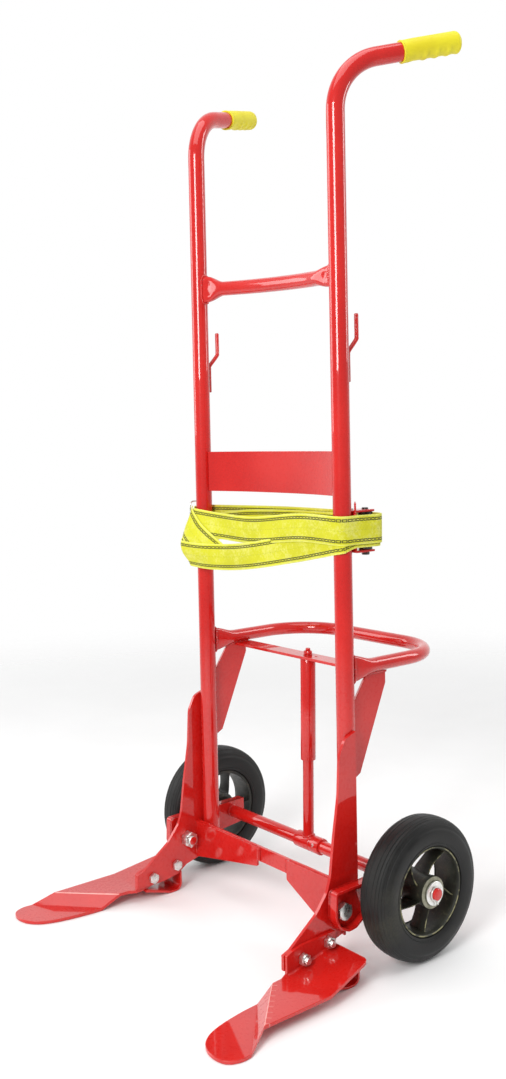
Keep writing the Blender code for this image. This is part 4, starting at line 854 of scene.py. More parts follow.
def buildSidePlate(word, side):
    outline = [(2, 408), (-24, 398), (-38, 370), (-42, 300), (-55, 225), (-64, 160), (-72, 138), (-98, 106),
               (-160, 62), (-175, 57), (-175, 31), (-112, 30), (-76, 36), (-55, 50), (-25, 58), (2, 70)]
    outline = corners(outline, {1: 22, 2: 40, 3: 160, 4: 200, 5: 60, 6: 26, 7: 60, 8: 10, 13: 10})
    holes = [circleAt(pivot["y"], pivot["z"], pivot["bolt"] + 0.4, 36)]
    holes += [circleAt(y, z, toe["bolt"] + 0.4) for y, z in toeBolts()]
    mesh = sheet(outline, side * plateInner, side * plateOuter, holes=holes)
    publish(f"side_plate_sheet_{word}", mesh, "red", nodes=[f"side_plate_{word}"], bevel=0.8, angle=50)
    for n, (low, high) in enumerate(((150, 235), (255, 300), (330, 404))):
        count, up = int((high - low) / 8), (0, 0, 8)
        seam(f"side_plate_weld_{word}_{n}", (side * (plateInner - 1.2), 3.4, low), up, count, 2.3, n + side)
        start = (side * (plateInner - 1.6), -5.5, low)
        seam(f"side_plate_front_weld_{word}_{n}", start, up, count, 2.6, n + side + 4)


bar = {"top": 136.5, "deep": 29, "thick": 6}
gussets = {"left": (21, 33, 47), "right": (66, 52, 62)}  # inner end, drop at the knee, drop at the side plate
gussetKnee = 150


def buildLowerBar():
    reach, front, low = plateInner - 0.3, -handle["tube"] - 0.3 - bar["thick"], bar["top"] - bar["deep"]
    outline = [(-reach, low), (reach, low), (reach, bar["top"]), (-reach, bar["top"])]
    mesh = sheet(outline, front, front + bar["thick"], axis="y")
    publish("lower_bar_plate", mesh, "red", nodes=["lower_bar"], bevel=0.7)
    for word, side in sides.items():
        for n, x in enumerate((half - 13, half + 13)):
            seam(f"lower_bar_weld_{word}_{n}", (side * x, front + 6.6, low + 2), (0, 0, 4.2), 7, 2.2, n + side)


def buildGusset(word, side):
    inner, kneeDrop, footDrop = gussets[word]
    reach, back, low = side * (plateInner - 0.3), -handle["tube"] - 0.6 - bar["thick"], bar["top"] - bar["deep"]
    outline = [(reach, bar["top"]), (side * inner, bar["top"]), (side * inner, low - 9),
               (side * gussetKnee, low - kneeDrop), (reach, low - footDrop)]
    mesh = sheet(corners(outline, {1: 3, 2: 3, 3: 14}), back - 5, back, axis="y")
    publish(f"gusset_plate_{word}", mesh, "red", nodes=[f"gusset_{word}"], bevel=0.7)
    start = (side * (plateInner - 1.2), back - 5.4, low - footDrop + 8)
    seam(f"gusset_weld_{word}", start, (0, 0, 8), 6, 2.3, side)
    start, count = (side * (inner + 4), back - 0.8, bar["top"] + 0.6), int((plateInner - inner - 8) / 11) + 1
    seam(f"gusset_top_weld_{word}", start, (side * 11, 0, 0), count, 1.7, side + 2)
    start = (side * (inner - 1.6), back - 0.6, low + 1)
    seam(f"gusset_end_weld_{word}", start, (0, 0, 4), 8, 4.4, side + 3)


def toeOutline():
    inner, outer = flangeInner, toe["outer"]
    rear = [(inner, toe["rearY"]), (outer - 27, toe["rearY"]), (outer - 21, toe["rearY"] - 2.2),
            (outer - 17, toe["rearY"] - 6.5), (outer - 15.2, toe["rearY"] - 12)]
    tip = [(20, -362), (14, -379), (4, -388), (-12, -392), (-32, -390), (-50, -381), (-64, -365), (-73, -345),
           (-80, -318), (-86, -280)]
    start, end = Vector((outer + 19, -345)), Vector((inner + 15, -246))
    tip = curve([start] + [Vector((outer + x, y)) for x, y in tip] + [end], 3)
    return rear, [tuple(p) for p in tip]


def buildToe(word, side):
    # One folded sheet: rear panel, level panel, riser and paddle share their fold lines.
    inner, outer, high = flangeInner, toe["outer"], toe["levelZ"]
    rear, tip = toeOutline()
    mesh = bmesh.new()

    def put(x, y, z):
        return mesh.verts.new(spot(side * x, y, z))

    rearVerts = [put(x, y, toeSlope(y)) for x, y in rear]
    levelIn, levelOut = put(inner, toe["levelY"], high), put(outer, toe["levelY"], high)
    flangeEnd = put(inner, -174, high)
    notch = [put(inner + 2.5 * k, -174 - 4.6 * k, high) for k in (1, 2, 3)]
    foldIn, foldOut = put(inner + 9, -207, high), put(outer, -304, high)
    tipVerts = [put(x, y, toe["thick"]) for x, y in tip]
    mesh.faces.new([*rearVerts, levelOut, levelIn])
    mesh.faces.new([levelIn, levelOut, foldOut, foldIn, *notch[::-1], flangeEnd])
    mesh.faces.new([foldIn, foldOut, tipVerts[0], tipVerts[-1]])
    mesh.faces.new(tipVerts[::-1])
    grown = bmesh.ops.extrude_face_region(mesh, geom=mesh.faces[:], use_keep_orig=True)
    moved = [v for v in grown["geom"] if isinstance(v, bmesh.types.BMVert)]
    bmesh.ops.translate(mesh, verts=moved, vec=(0, 0, -toe["thick"] * mm))
    look = f"toe{word.capitalize()}"
    publish(f"toe_sheet_{word}", mesh, look, nodes=[f"toe_{word}"], bevel=1.0, angle=12, segments=3)
    outline = [(toe["rearY"], toe["rearZ"] - 5), (toe["levelY"], high - 5), (-173, high - 5), (-173, high + 31),
               (-163, high + 36), (-140, high + 41), (toe["rearY"], toe["rearZ"] + 22)]
    outline = corners(outline, {3: 3, 6: 3})
    holes = [circleAt(y, z, toe["bolt"] + 0.4) for y, z in toeBolts()]
    mesh = sheet(outline, side * (inner + 0.1), side * (inner + 6), holes=holes)
    publish(f"toe_flange_{word}", mesh, look, bevel=0.8, angle=50)
    # the inside of the bend between panel and flange
    rings = []
    for y in (-172, toe["levelY"], -140, -110, -80, toe["rearY"] - 1):
        z, points = toeSlope(y) if y > toe["levelY"] else high, []
        for k in range(9):
            a = math.pi / 2 * k / 8
            across, rise = 5 * (1 - math.cos(a)), 5 * (1 - math.sin(a))
            points.append(spot(side * (inner + 5.6 + across), y, z - 0.4 + rise))
        points.append(spot(side * (inner + 5.2), y, z - 1.5))
        rings.append(points)
    publish(f"toe_bend_{word}", skin(rings), look)


heel = {"strip": 4, "rear": -66, "front": -150, "bend": 14}


def buildHeel(word, side):
    t, rear, front, bend = heel["strip"], heel["rear"], heel["front"], heel["bend"]

    def under(y):
        return toeSlope(y) - toe["thick"] * 1.025 - 0.3

    def bent(radius):
        return [(rear - bend + radius * math.cos(a), bend - radius * math.sin(a))
                for a in (math.pi / 2 * k / 8 for k in range(9))]

    end = under(front - t)
    outer = [(rear, under(rear))] + bent(bend) + [(rear - 2 * bend, 0), (front - t, end - t), (front - t, end)]
    inner = [(front, under(front)), (rear - 2 * bend, t)] + bent(bend - t)[::-1] + [(rear - t, under(rear - t))]
    mesh = sheet(outer + inner, side * (flangeInner - 5), side * (toe["outer"] - 33))
    publish(f"heel_strip_{word}", mesh, "red", nodes=[f"heel_{word}"], bevel=0.6, angle=40)


def hexBolt(name, side, place, shank, flats, head, thick, tip, node, body="frame"):
    away = 1 if head > tip else -1
    profile, kinds = [], []

    def stop(x, radius, kind=""):
        profile.append((side * x, radius))
        kinds.append(kind)

    top = head + away * thick
    stop(top, flats * 0.1)
    stop(top, flats * 0.44, "hex")
    for k in range(1, 7):
        stop(top - away * thick * 0.034 * k, flats * (0.44 + 0.025 * k), "hex")
    stop(head + away * 0.9, flats * 0.6, "hex")
    stop(head + away * 0.8, flats * 0.49)
    stop(head, flats * 0.49)
    stop(head, shank)
    pitch, start, end = 0.16 * shank + 0.7, head - away * 13, tip + away * 0.8
    count = int(abs(start - end) / 0.3)
    stop(start, shank)
    for k in range(count):
        stop(start - away * 0.3 * k, shank, "thread")
    stop(end, shank - 0.3, "thread")
    stop(tip, shank - 1.2)

    def shape(n, angle, radius):
        if kinds[n] == "hex":
            return hexLook(flats)(n, angle, radius)
        if kinds[n] == "thread":
            return radius - 0.32 * pitch * abs((abs(profile[n][0]) / pitch - angle / math.tau) % 1 * 2 - 1)
        return radius

    mesh = skin(lathe(profile, spot(0, *place), "x", 60, shape))
    return publish(name, mesh, "zinc", body, [node])


def hexNut(name, side, place, shank, flats, low, high, node, body="frame"):
    span = high - low
    profile = [(low, shank + 0.3), (low, flats * 0.47), (low + 0.1 * span, flats * 0.6),
               (high - 0.1 * span, flats * 0.6), (high, flats * 0.47), (high, shank + 1.1),
               (high - 0.8, shank + 0.3)]

    def shape(n, angle, radius):
        if n in (0, 5, 6):
            return radius
        return hexLook(flats)(n, angle, flats * (0.47 if n in (1, 4) else 0.58))

    return turn(name, profile, spot(0, *place), "zinc", body, [node], side, 60, shape)


def washer(name, side, place, bore, outer, low, high, look="zinc", body="frame", nodes=()):
    profile = [(low, bore), (low, outer - 0.5), (low + 0.4, outer), (high - 0.4, outer), (high, outer - 0.5),
               (high, bore)]
    return turn(name, profile, spot(0, *place), look, body, nodes, side, 64)


def buildFasteners(word, side):
    for number, place in zip(("front", "rear"), toeBolts()):
        hexBolt(f"toe_bolt_hex_{number}_{word}", side, place, toe["bolt"], toe["flats"], plateInner - 0.3, 8,
                flangeInner + 6 + 17, f"toe_bolt_{number}_{word}")
        start = flangeInner + 6.6
        hexNut(f"toe_nut_hex_{number}_{word}", side, place, toe["bolt"], toe["flats"], start, start + 11,
               f"toe_nut_{number}_{word}")
    place = (pivot["y"], pivot["z"])
    head = arm["inner"] + arm["thick"] + 0.3
    hexBolt(f"pivot_bolt_hex_{word}", side, place, pivot["bolt"], pivot["flats"], head, 12, plateInner - 23,
            f"pivot_bolt_{word}")
    low, high = plateInner - 18.3, plateInner - 0.3
    hexNut(f"pivot_nut_hex_{word}", side, place, pivot["bolt"], pivot["flats"], low, high, f"pivot_nut_{word}")
    tip, r = plateInner - 22.6, pivot["bolt"] - 1.5
    cap = [(tip, r), (tip - 0.6, r), (tip - 0.9, r - 0.4), (tip - 0.9, 1)]
    turn(f"pivot_tip_paint_{word}", cap, spot(0, *place), side=side, count=36, closed=False)


buildLowerBar()
for word, side in sides.items():
    buildSidePlate(word, side)
    buildGusset(word, side)
    buildToe(word, side)
    buildHeel(word, side)
    buildFasteners(word, side)
print("foot built")


# Wheel carriage

def buildArm(word, side):
    # A pressed arm: flat web, with a lip standing outwards along its top, front and bottom.
    outline = [(112, 149), (-78, 146), (-80, 98), (-70, 80), (-48, 70), (-30, 72), (-14, 82), (60, 95),
               (112, 101)]
    edge = corners(outline, {1: 9, 2: 12, 3: 14, 4: 14, 5: 12, 6: 10, 7: 20})
    middle, t, inside = Vector((15, 116)), arm["thick"], []
    for i, point in enumerate(edge):
        run = (Vector(edge[min(i + 1, len(edge) - 1)]) - Vector(edge[max(i - 1, 0)])).normalized()
        normal = Vector((-run.y, run.x))
        inside.append(tuple(Vector(point) + normal * (t if normal.dot(middle - Vector(point)) > 0 else -t)))
    holes = [circleAt(pivot["y"], pivot["z"], pivot["bolt"] + 0.4, 36),
             circleAt(axle["y"], axle["z"], axle["radius"] + 0.3, 36)]
    inner, outer = arm["inner"], arm["inner"] + arm["deep"]
    publish(f"arm_web_{word}", sheet(edge, side * inner, side * (inner + t), holes=holes), "red", "carriage",
            [f"swing_arm_{word}"], bevel=0.8, angle=50)
    lip = sheet(edge + inside[::-1], side * (inner + 0.4), side * outer)
    publish(f"arm_lip_{word}", lip, "red", "carriage", bevel=0.9, angle=50)
    low = plateOuter + 0.4
    bore, boss = pivot["bolt"] + 0.4, arm["boss"]
    profile = [(low, bore), (low, boss - 0.6), (low + 0.6, boss), (inner + 1, boss), (inner + 1, bore)]
    turn(f"arm_boss_{word}", profile, spot(0, pivot["y"], pivot["z"]), body="carriage", side=side)
    around = ring(axle["radius"] + 1.6, 28)
    points = [spot(side * (inner - 0.8), axle["y"] + a, axle["z"] + b) for a, b in around]
    bead(f"arm_weld_{word}", points, 2.2, "carriage", closed=True, seed=side)


def buildAxle():
    r, end, tube, shoulder = axle["radius"], axle["end"], axle["tube"], arm["inner"] - 0.6
    rightEnd = [(end, r - 2.2), (end - 0.4, r - 1.4), (end - 1.6, r), (shoulder, r), (shoulder, tube - 0.5),
                (shoulder - 0.5, tube)]
    profile = [(-run, radius) for run, radius in rightEnd] + rightEnd[::-1]
    centre = spot(0, axle["y"], axle["z"])
    turn("axle_bar", profile, centre, body="carriage", nodes=["axle"], count=64, closed=False)


wheel = {"radius": 127, "width": 66, "x": 298, "rim": 79, "hub": 29}


def buildTyre(word, side):
    w, outer, inner = wheel["width"] / 2, wheel["radius"], wheel["rim"] + 0.3
    # from the rim up the sidewall, then over the ribbed tread to the middle
    wall = [(7, 0), (3.2, 1.2), (1.4, 4), (1.0, 5.4), (1.9, 6.2), (1.2, 8), (0.3, 14), (0, 20)]
    tread = [(0.4, 22), (1.6, 17.5), (2.6, 16.6), (2.9, 15.4), (4.6, 11), (5.4, 10.7), (5.8, 9.7), (7.8, 6.6),
             (8.8, 6.6), (9.2, 5.6), (12.2, 3.4), (13.2, 3.5), (13.6, 2.7), (17.6, 1.5), (18.8, 2.5), (20, 1.1),
             (25.6, 0.3), (26.8, 1.5), (28, 0.2), (w, 0)]
    outward = [(w - a, inner + rise) for a, rise in wall] + [(w - a, outer - drop) for a, drop in tread]
    profile = outward + [(-a, r) for a, r in outward[-2::-1]]

    def shape(n, angle, radius):
        wobble = 0.12 * noise.noise(Vector((3 * math.cos(angle), 3 * math.sin(angle), n * 0.3 + side)))
        return radius - abs(wobble)

    centre = spot(side * wheel["x"], axle["y"], axle["z"])
    turn(f"tyre_skin_{word}", profile, centre, "rubber", f"wheel_{word}", [f"tyre_{word}"], side, 144, shape)


rim = {"spokes": 5, "deep": 18, "thick": 5.2, "lean": 0.5, "edge": 73.6, "phase": {"left": 1.2, "right": 0.87}}


def buildRim(word, side):
    centre = spot(side * wheel["x"], axle["y"], axle["z"])
    bore, body = axle["radius"] + 0.4, f"wheel_{word}"
    w, outer, hub = wheel["width"] / 2 - 5, wheel["rim"], wheel["hub"]
    profile = [(-w, outer - 6.4), (-w, outer - 0.6), (-w + 0.6, outer), (w - 0.6, outer), (w, outer - 0.6),
               (w, outer - 3.6), (w - 1.2, outer - 4.6), (w - 9, outer - 5.2), (0, outer - 6),
               (-w + 9, outer - 5.2), (-w + 1.2, outer - 4.8)]
    turn(f"rim_ring_{word}", profile, centre, "cast", body, [f"rim_{word}"], side, 96)
    inward = wheel["x"] - arm["inner"] - arm["thick"] - 0.8
    profile = [(-inward, bore), (-inward, 13.8), (-inward + 0.6, 14.5), (-35, 14.5), (-34, 20), (-28, 22),
               (-26, hub - 1.5), (-25, hub), (20, hub - 2), (24, hub - 0.8), (32.6, hub - 1.2), (32.6, bore)]
    turn(f"hub_barrel_{word}", profile, centre, "cast", body, side=side, count=80)
    profile = [(32.5, bore), (32.5, hub - 1.0), (33.4, hub - 1.2), (34.6, hub - 3.0), (34.8, 23),
               (34.0, 22), (34.0, 17), (34.8, 16.4), (34.8, bore)]
    turn(f"hub_face_{word}", profile, centre, "hub", body, side=side, count=80)
    profile = [(w - 0.2, outer - 0.8), (w + 0.5, outer - 1.0), (w + 0.5, outer - 2.6), (w - 0.2, outer - 3.2)]
    turn(f"rim_lip_{word}", profile, centre, "worn", body, side=side, count=96)
    blades, edges = bmesh.new(), bmesh.new()
    for n in range(rim["spokes"]):
        rings, strips = [], []
        start = rim["phase"][word] + math.tau * n / rim["spokes"]
        for k in range(17):
            t = k / 16
            r = mix(hub - 4, rim["edge"] + 1.5, t)
            a = start + rim["lean"] * (1 - t) ** 1.6 * side
            out, swing = Vector((0, math.cos(a), math.sin(a))), Vector((0, -math.sin(a), math.cos(a)))
            thin = rim["thick"] * 0.5 * (1 + 0.5 * smooth((0.14 - t) / 0.14) + 0.3 * smooth((t - 0.9) / 0.1))
            deep = rim["deep"] * (1 - 0.16 * math.sin(math.pi * t))

            def place(across, axial):
                return centre + (out * r + swing * thin * across + Vector((side * axial, 0, 0))) * mm

            rings.append([place(across, deep * axial) for across, axial in
                          ((-0.36, 1.0), (0, 1.02), (0.36, 1.0), (0.75, 0.5), (1.0, 0), (0.75, -0.5),
                           (0.36, -1.0), (0, -1.02), (-0.36, -1.0), (-0.75, -0.5), (-1.0, 0), (-0.75, 0.5))])
            strips.append([place(across, deep + axial) for across, axial in
                           ((-0.4, -0.3), (-0.34, 0.5), (0, 0.8), (0.34, 0.5), (0.4, -0.3), (0, -0.6))])
        skin(rings, mesh=blades)
        skin(strips, mesh=edges)
    publish(f"rim_spokes_{word}", blades, "cast", body)
    publish(f"rim_spoke_edges_{word}", edges, "worn", body)


def buildHubEnd(word, side):
    place = (axle["y"], axle["z"])
    low = wheel["x"] + 35.6
    washer(f"hub_washer_{word}", side, place, axle["radius"] + 0.3, 21, low, low + 3, "brightZinc", "carriage",
           [f"axle_washer_{word}"])
    x, r = side * (low + 5.2), axle["radius"] + 1.5
    y, z = place
    angles = [math.radians(t) for t in range(-60, 241, 12)]
    loop = [(x, y + r * math.cos(a), z + r * math.sin(a)) for a in angles]
    start = [(x, y + 4.6, z - r - 8), (x, y + 3.0, z - r - 3.5)]
    end = [(x, y - 3.0, z - r - 3.5), (x, y - 3.6, z - r - 8)]
    path = curve([spot(*p) for p in start + loop + end], 3)
    wire = skin(carry(path, ring(1.3, 14), (1, 0, 0)))
    publish(f"cotter_wire_{word}", wire, "brightZinc", "carriage", [f"cotter_{word}"])


buildAxle()
for word, side in sides.items():
    buildArm(word, side)
    buildTyre(word, side)
    buildRim(word, side)
    buildHubEnd(word, side)
print("wheel carriage built")


# Webbing and winch

web = {"width": 52, "thick": 2.0, "wound": (208, 59, 20)}
winch = {"x": 206, "y": 55, "drum": 14, "top": 798, "bottom": 722, "plate": 4}
upperFront = [(-224, 765), (-194, 761), (-94, 754), (-19, 753), (97, 764), (140, 765.5), (223, 763)]
upperBack = [(-224, 767), (0, 769), (224, 764)]
lowerFront = [(-224, 696), (-150, 693), (-47, 701), (94, 725), (160, 738), (204, 747), (241, 753)]
lowerBack = [(-224, 738), (-150, 756), (0, 763), (224, 758)]
bulge = [(645, 3), (675, 9), (697, 25), (716, 29), (750, 19), (768, 11), (792, 3)]


def wrapPath(extra, spacing=5.0):
    # Closed path round both uprights and the winch drum, extra outside them, as (x, y) with its outward normal.
    hubs = [(Vector((-half, 0)), handle["tube"]), (Vector((half, 0)), handle["tube"]),
            (Vector(web["wound"][:2]), web["wound"][2])]
    angles = []
    for n in range(3):
        (a, ra), (b, rb) = hubs[n], hubs[(n + 1) % 3]
        line = b - a
        angles.append(math.atan2(line.y, line.x) - math.acos((ra - rb) / line.length))
    points = []
    for n in range(3):
        centre, radius = hubs[n]
        start, end = angles[n - 1], angles[n]
        while end < start:
            end += math.tau
        steps = max(6, int((end - start) / 0.16))
        for k in range(steps + 1):
            a = start + (end - start) * k / steps
            normal = Vector((math.cos(a), math.sin(a)))
            points.append((centre + (radius + extra) * normal, normal))
    dense = []
    for n, (p, normal) in enumerate(points):
        q, after = points[(n + 1) % len(points)]
        parts = max(1, round((q - p).length / spacing))
        dense += [(p + (q - p) * k / parts, normal.lerp(after, k / parts).normalized()) for k in range(parts)]
    return dense


def bandMesh(name, rows, closed, nodes=(), columns=13):
    # rows hold, for each station, a function from across (mm from the middle) to a point, and the run so far.
    mesh = bmesh.new()
    layer = mesh.loops.layers.uv.new("weave")
    count = len(rows)
    across = [web["width"] * (k / (columns - 1) - 0.5) for k in range(columns)]
    grid = [[mesh.verts.new(place(v)) for v in across] for place, _ in rows]
    length = rows[-1][1] + (rows[-1][1] / (count - 1))
    for i in range(count if closed else count - 1):
        j = (i + 1) % count
        uEnd = rows[j][1] if j else length
        for k in range(columns - 1):
            face = mesh.faces.new((grid[i][k], grid[j][k], grid[j][k + 1], grid[i][k + 1]))
            for loop, (u, v) in zip(face.loops, ((rows[i][1], across[k]), (uEnd, across[k]), (uEnd, across[k + 1]),
                                                 (rows[i][1], across[k + 1]))):
                loop[layer].uv = (u * mm, v)
    thing = publish(name, mesh, "web", nodes=nodes)
    thick = thing.modifiers.new("thick", "SOLIDIFY")
    thick.thickness, thick.offset = web["thick"] * mm, 0.0
    rounding = thing.modifiers.new("edges", "BEVEL")
    rounding.width, rounding.segments, rounding.limit_method = 0.5 * mm, 2, "ANGLE"
    return thing


def slack(x, y, z, behind):
    # The webbing stands away from the left upright, most where the two loops part.
    loose = along(bulge, z) * smooth((-x - 100) / 100) * smooth(1 - 1.1 * max(0.0, behind))
    return spot(x - 0.86 * loose, y - 0.5 * loose, z)


def buildLoop(name, node, offset, front, back, sag):
    path = wrapPath(0.0)
    rows, run = [], 0.0
    for i, (p, normal) in enumerate(path):
        ahead = path[(i + 1) % len(path)][0] - path[i - 1][0]
        face = smooth((p.y + handle["tube"]) / (2 * handle["tube"]))
        z = mix(along(front, p.x), along(back, p.x), face)
        slope = mix(*(along(table, p.x + 4) - along(table, p.x - 4) for table in (front, back)), face) / 8
        slope = slope if abs(normal.y) > 0.5 else slope * abs(normal.y)
        out = offset(p, face)
        wob = 0.5 * noise.noise(Vector((p.x * 0.02, p.y * 0.02, len(name))))

        def place(v, p=p, normal=normal, z=z, slope=slope, out=out, wob=wob):
            cup = sag * (1 - (2 * v / web["width"]) ** 2) * abs(normal.y)
            q = p + normal * (out + wob * (v / web["width"]) + cup)
            stretch = math.sqrt(1 + slope * slope)
            shift = -slope * v / stretch if abs(normal.y) > 0.5 else 0
            return slack(q.x + shift, q.y, z + v / stretch, normal.y)

        rows.append((place, run))
        run += (path[(i + 1) % len(path)][0] - p).length
    bandMesh(name, rows, True, [node])


def upperOffset(p, face):
    shift = smooth((p.x + 60) / 160)
    return mix(mix(2.0, 4.6, shift), 4.6, face)


def lowerOffset(p, face):
    shift = smooth((p.x + 60) / 160)
    return mix(mix(6.8, 1.8, shift), 1.8, face)


flap = {"top": (-228, 768), "bottom": (-118, 692)}


def buildFlap():
    # The slack end folded down across the left of the front, between the two loops.
    start, end = Vector(flap["top"]), Vector(flap["bottom"])
    ahead = (end - start).normalized()
    side = Vector((-ahead.y, ahead.x))
    rows, run, steps = [], 0.0, 34
    radius = handle["tube"] + 4.6
    for k in range(steps + 1):
        s = (end - start).length * k / steps - 6
        middle = start + ahead * s

        def place(v, middle=middle):
            x, z = middle + side * v
            over = -half - x
            y = -radius
            if over > 0:
                turn = min(over / radius, math.pi * 0.62)
                x, y = -half - radius * math.sin(turn), -radius * math.cos(turn)
            return slack(x, y - 0.4, z, y / radius)

        rows.append((place, run))
        run += (end - start).length / steps
    bandMesh("webbing_flap", rows, False, ["strap_flap"], columns=17)


def buildWinch():
    back, p = handle["tube"] + 0.3, winch["plate"]
    reach, low, high = winch["y"] + 10, winch["bottom"], winch["top"]
    outline = [(back, low), (reach, low), (reach, low + p), (back + p, low + p), (back + p, high - p),
               (reach, high - p), (reach, high), (back, high)]
    mesh = sheet(corners(outline, {0: 4, 7: 4}), winch["x"] - 18, winch["x"] + 14)
    publish("winch_bracket_sheet", mesh, "red", nodes=["winch_bracket"], bevel=0.7, angle=40)
    level = high - p - 0.6
    core, foot = winch["drum"] - 2, low + p
    profile = [(low - 6, 5), (low - 6, 6.6), (low - 5.2, 7.4), (low - 1.6, 7.4), (low - 1, 6.8), (low - 1, 6),
               (foot + 0.6, 6), (foot + 0.6, core + 0.5), (foot + 2, core + 0.5), (foot + 2, core),
               (level - 6, core), (level - 6, core + 0.6), (level - 4.5, core + 0.6), (level - 4.5, 6),
               (high + 2, 6), (high + 3, 5)]

    def shape(n, angle, radius):
        return hexLook(13)(n, angle, radius) if n < 5 else radius

    centre = spot(winch["x"], winch["y"], 0)
    turn("winch_spool_shaft", profile, centre, "steel", "winch_spool", ["winch_spool"], count=60, shape=shape,
         closed=False, axis="z")
    teeth = []
    for n in range(10):
        a = math.tau * n / 10
        teeth += [(winch["x"] + r * math.cos(a + da), winch["y"] + r * math.sin(a + da))
                  for da, r in ((0.0, 10.2), (0.1, 13.6), (0.32, 11.8), (0.55, 10.6))]
    mesh = sheet(teeth, level - 4.4, level, axis="z")
    publish("winch_ratchet", mesh, "steel", "winch_spool", bevel=0.25, angle=30)
    x, y = winch["x"] - 12.5, winch["y"] - 22
    outline = [(-5, -3), (3, -5), (6, 0), (5.5, 7.5), (2.5, 10.5), (-4, 5)]
    outline = [(x + a, y + b) for a, b in outline]
    outline = corners(outline, {0: 2, 1: 2, 2: 2})
    mesh = sheet(outline, level - 4.2, level - 0.2, axis="z", holes=[circleAt(x, y, 2.6, 20)])
    publish("winch_pawl_plate", mesh, "steel", "winch_pawl", ["winch_pawl"], bevel=0.3, angle=40)
    profile = [(level - 5.5, 2.2), (high + 0.4, 2.2), (high + 0.4, 3.7), (high + 1, 4), (high + 1.6, 3.6),
               (high + 2, 2.6)]
    turn("pawl_rivet", profile, spot(x, y, 0), "zinc", nodes=["pawl_pin"], count=32, closed=False, axis="z")
    for n, shift in enumerate((-17.4, 13.4)):
        seam(f"winch_weld_{n}", (winch["x"] + shift, back + 0.4, low + 8), (0, 0, 12), 8, 2.0, n)


def buildWireHook():
    x = -half - handle["tube"] - 10.4
    outline = corners([(-16, 700), (14, 700), (14, 801), (-16, 801)], {0: 9, 1: 9, 2: 9, 3: 9})
    rings = carry([spot(x, y, z) for y, z in outline], ring(1.6, 14), (1, 0, 0), closed=True)
    publish("wire_fitting", skin(rings, closed=True), "zinc", nodes=["wire_hook"])


buildLoop("webbing_upper", "strap_upper", upperOffset, upperFront, upperBack, 0.3)
buildLoop("webbing_lower", "strap_lower", lowerOffset, lowerFront, lowerBack, 0.3)
buildFlap()
buildWinch()
buildWireHook()
print("webbing and winch built")


# Floor, light and camera

stage = {"solid": 1.3, "edge": 3.4, "shade": 0.93}


def stageMaterial():
    look = Look("studio_floor", **{"Specular IOR Level": 0.1})
    grain = look.noise(3.0, 4.0)
    pale = stage["shade"]
    colour = look.blend(grain.ramp(0.3, 0.7), (pale - 0.01,) * 3, (pale + 0.01,) * 3)
    x, y, _ = look.axes(look.place())
    distance = (x * x + y * y) ** 0.5
    return look.feed(colour=colour, roughness=grain.ramp(0.3, 0.7, 0.7, 0.8),
                     alpha=distance.ramp(stage["solid"], stage["edge"], 1.0, 0.0))


def buildStage():
    mesh = bmesh.new()
    bmesh.ops.create_circle(mesh, cap_ends=True, segments=96, radius=stage["edge"] + 0.05)
    bmesh.ops.translate(mesh, verts=mesh.verts[:], vec=(0, 0, -0.0006))
    data = bpy.data.meshes.new("studio_floor")
    mesh.to_mesh(data)
    mesh.free()
    if data.polygons[0].normal.z < 0:
        data.flip_normals()
    data.materials.append(stageMaterial())
    floor = bpy.data.objects.new("studio_floor", data)
    bpy.context.scene.collection.objects.link(floor)


def addLight(name, place, target, power, size, tall=None):
    light = bpy.data.lights.new(name, "AREA")
    light.energy, light.size = power, size
    if tall:
        light.shape, light.size_y = "RECTANGLE", tall
    lamp = bpy.data.objects.new(name, light)
    bpy.context.scene.collection.objects.link(lamp)
    lamp.location = place
    lamp.rotation_euler = (Vector(target) - Vector(place)).to_track_quat("-Z", "Y").to_euler()


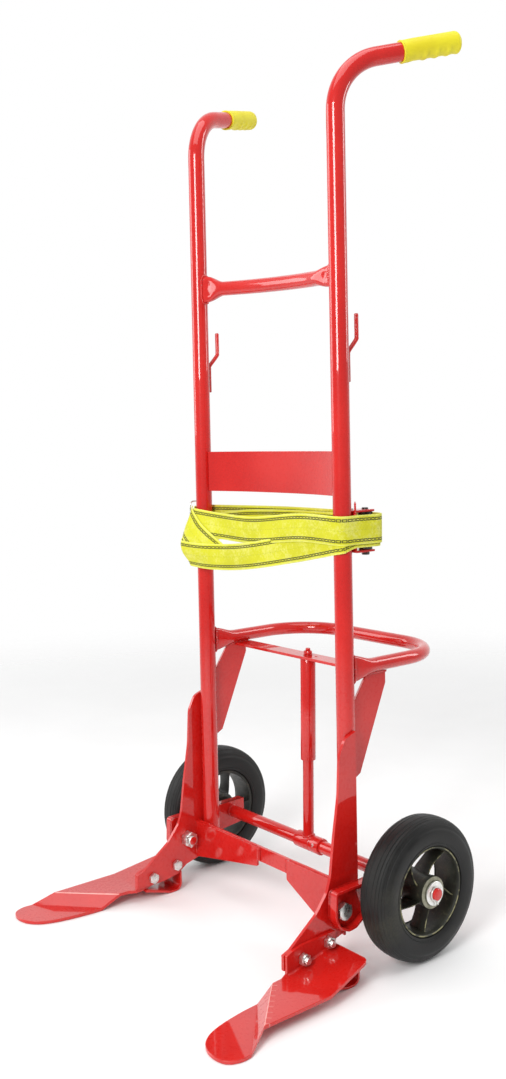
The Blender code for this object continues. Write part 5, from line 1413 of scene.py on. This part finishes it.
def buildLight():
    addLight("key", (1.3, -2.8, 1.95), (0, 0, 1.0), 74, 1.0, 1.5)
    addLight("fill", (-2.6, -1.6, 1.8), (0, 0, 0.8), 22, 1.2, 1.8)
    addLight("top", (0.3, -0.6, 3.4), (0, 0, 0.4), 34, 2.2)
    addLight("rim", (1.6, 2.6, 2.2), (0, 0, 0.9), 26, 0.7, 2.0)
    world = bpy.data.worlds.new("studio")
    bpy.context.scene.world = world
    world.use_nodes = True
    tree = world.node_tree
    place = tree.nodes.new("ShaderNodeTexCoord")
    facing = tree.nodes.new("ShaderNodeVectorMath")
    facing.operation = "DOT_PRODUCT"
    facing.inputs[1].default_value = (-0.78, 0.62, 0.0)
    fall = tree.nodes.new("ShaderNodeMapRange")
    for key, value in (("From Min", -0.1), ("From Max", 0.85), ("To Min", 0.42), ("To Max", 1.0)):
        fall.inputs[key].default_value = value
    seen = tree.nodes.new("ShaderNodeLightPath")
    pale = tree.nodes.new("ShaderNodeMath")
    pale.operation = "MAXIMUM"
    background = tree.nodes["Background"]
    background.inputs["Color"].default_value = (1, 1, 1, 1)
    tree.links.new(place.outputs["Generated"], facing.inputs[0])
    tree.links.new(facing.outputs["Value"], fall.inputs["Value"])
    tree.links.new(fall.outputs["Result"], pale.inputs[0])
    tree.links.new(seen.outputs["Is Camera Ray"], pale.inputs[1])
    tree.links.new(pale.outputs[0], background.inputs["Strength"])
    bpy.context.scene.view_settings.view_transform = "Standard"


view = {"azimuth": 0.89809199, "elevation": 0.04981212, "roll": -0.02133153,
        "from": (1606.22, -1339.39, 932.77), "lens": 36.56, "shift": (0.0092, -0.0449)}


def buildCamera():
    azimuth, elevation, roll = view["azimuth"], view["elevation"], view["roll"]
    right = Vector((math.cos(azimuth), math.sin(azimuth), 0))
    level = Vector((math.sin(azimuth), -math.cos(azimuth), 0))
    back = level * math.cos(elevation) + Vector((0, 0, math.sin(elevation)))
    up = back.cross(right)
    across = right * math.cos(roll) + up * math.sin(roll)
    lift = up * math.cos(roll) - right * math.sin(roll)
    data = bpy.data.cameras.new("camera")
    camera = bpy.data.objects.new("camera", data)
    bpy.context.scene.collection.objects.link(camera)
    turned = Matrix([[across[i], lift[i], back[i]] for i in range(3)]).to_4x4()
    camera.matrix_world = Matrix.Translation(spot(*view["from"])) @ turned
    data.sensor_width, data.lens = 36, view["lens"]
    data.shift_x, data.shift_y = view["shift"]
    bpy.context.scene.camera = camera


buildStage()
buildLight()
buildCamera()
print("stage built")
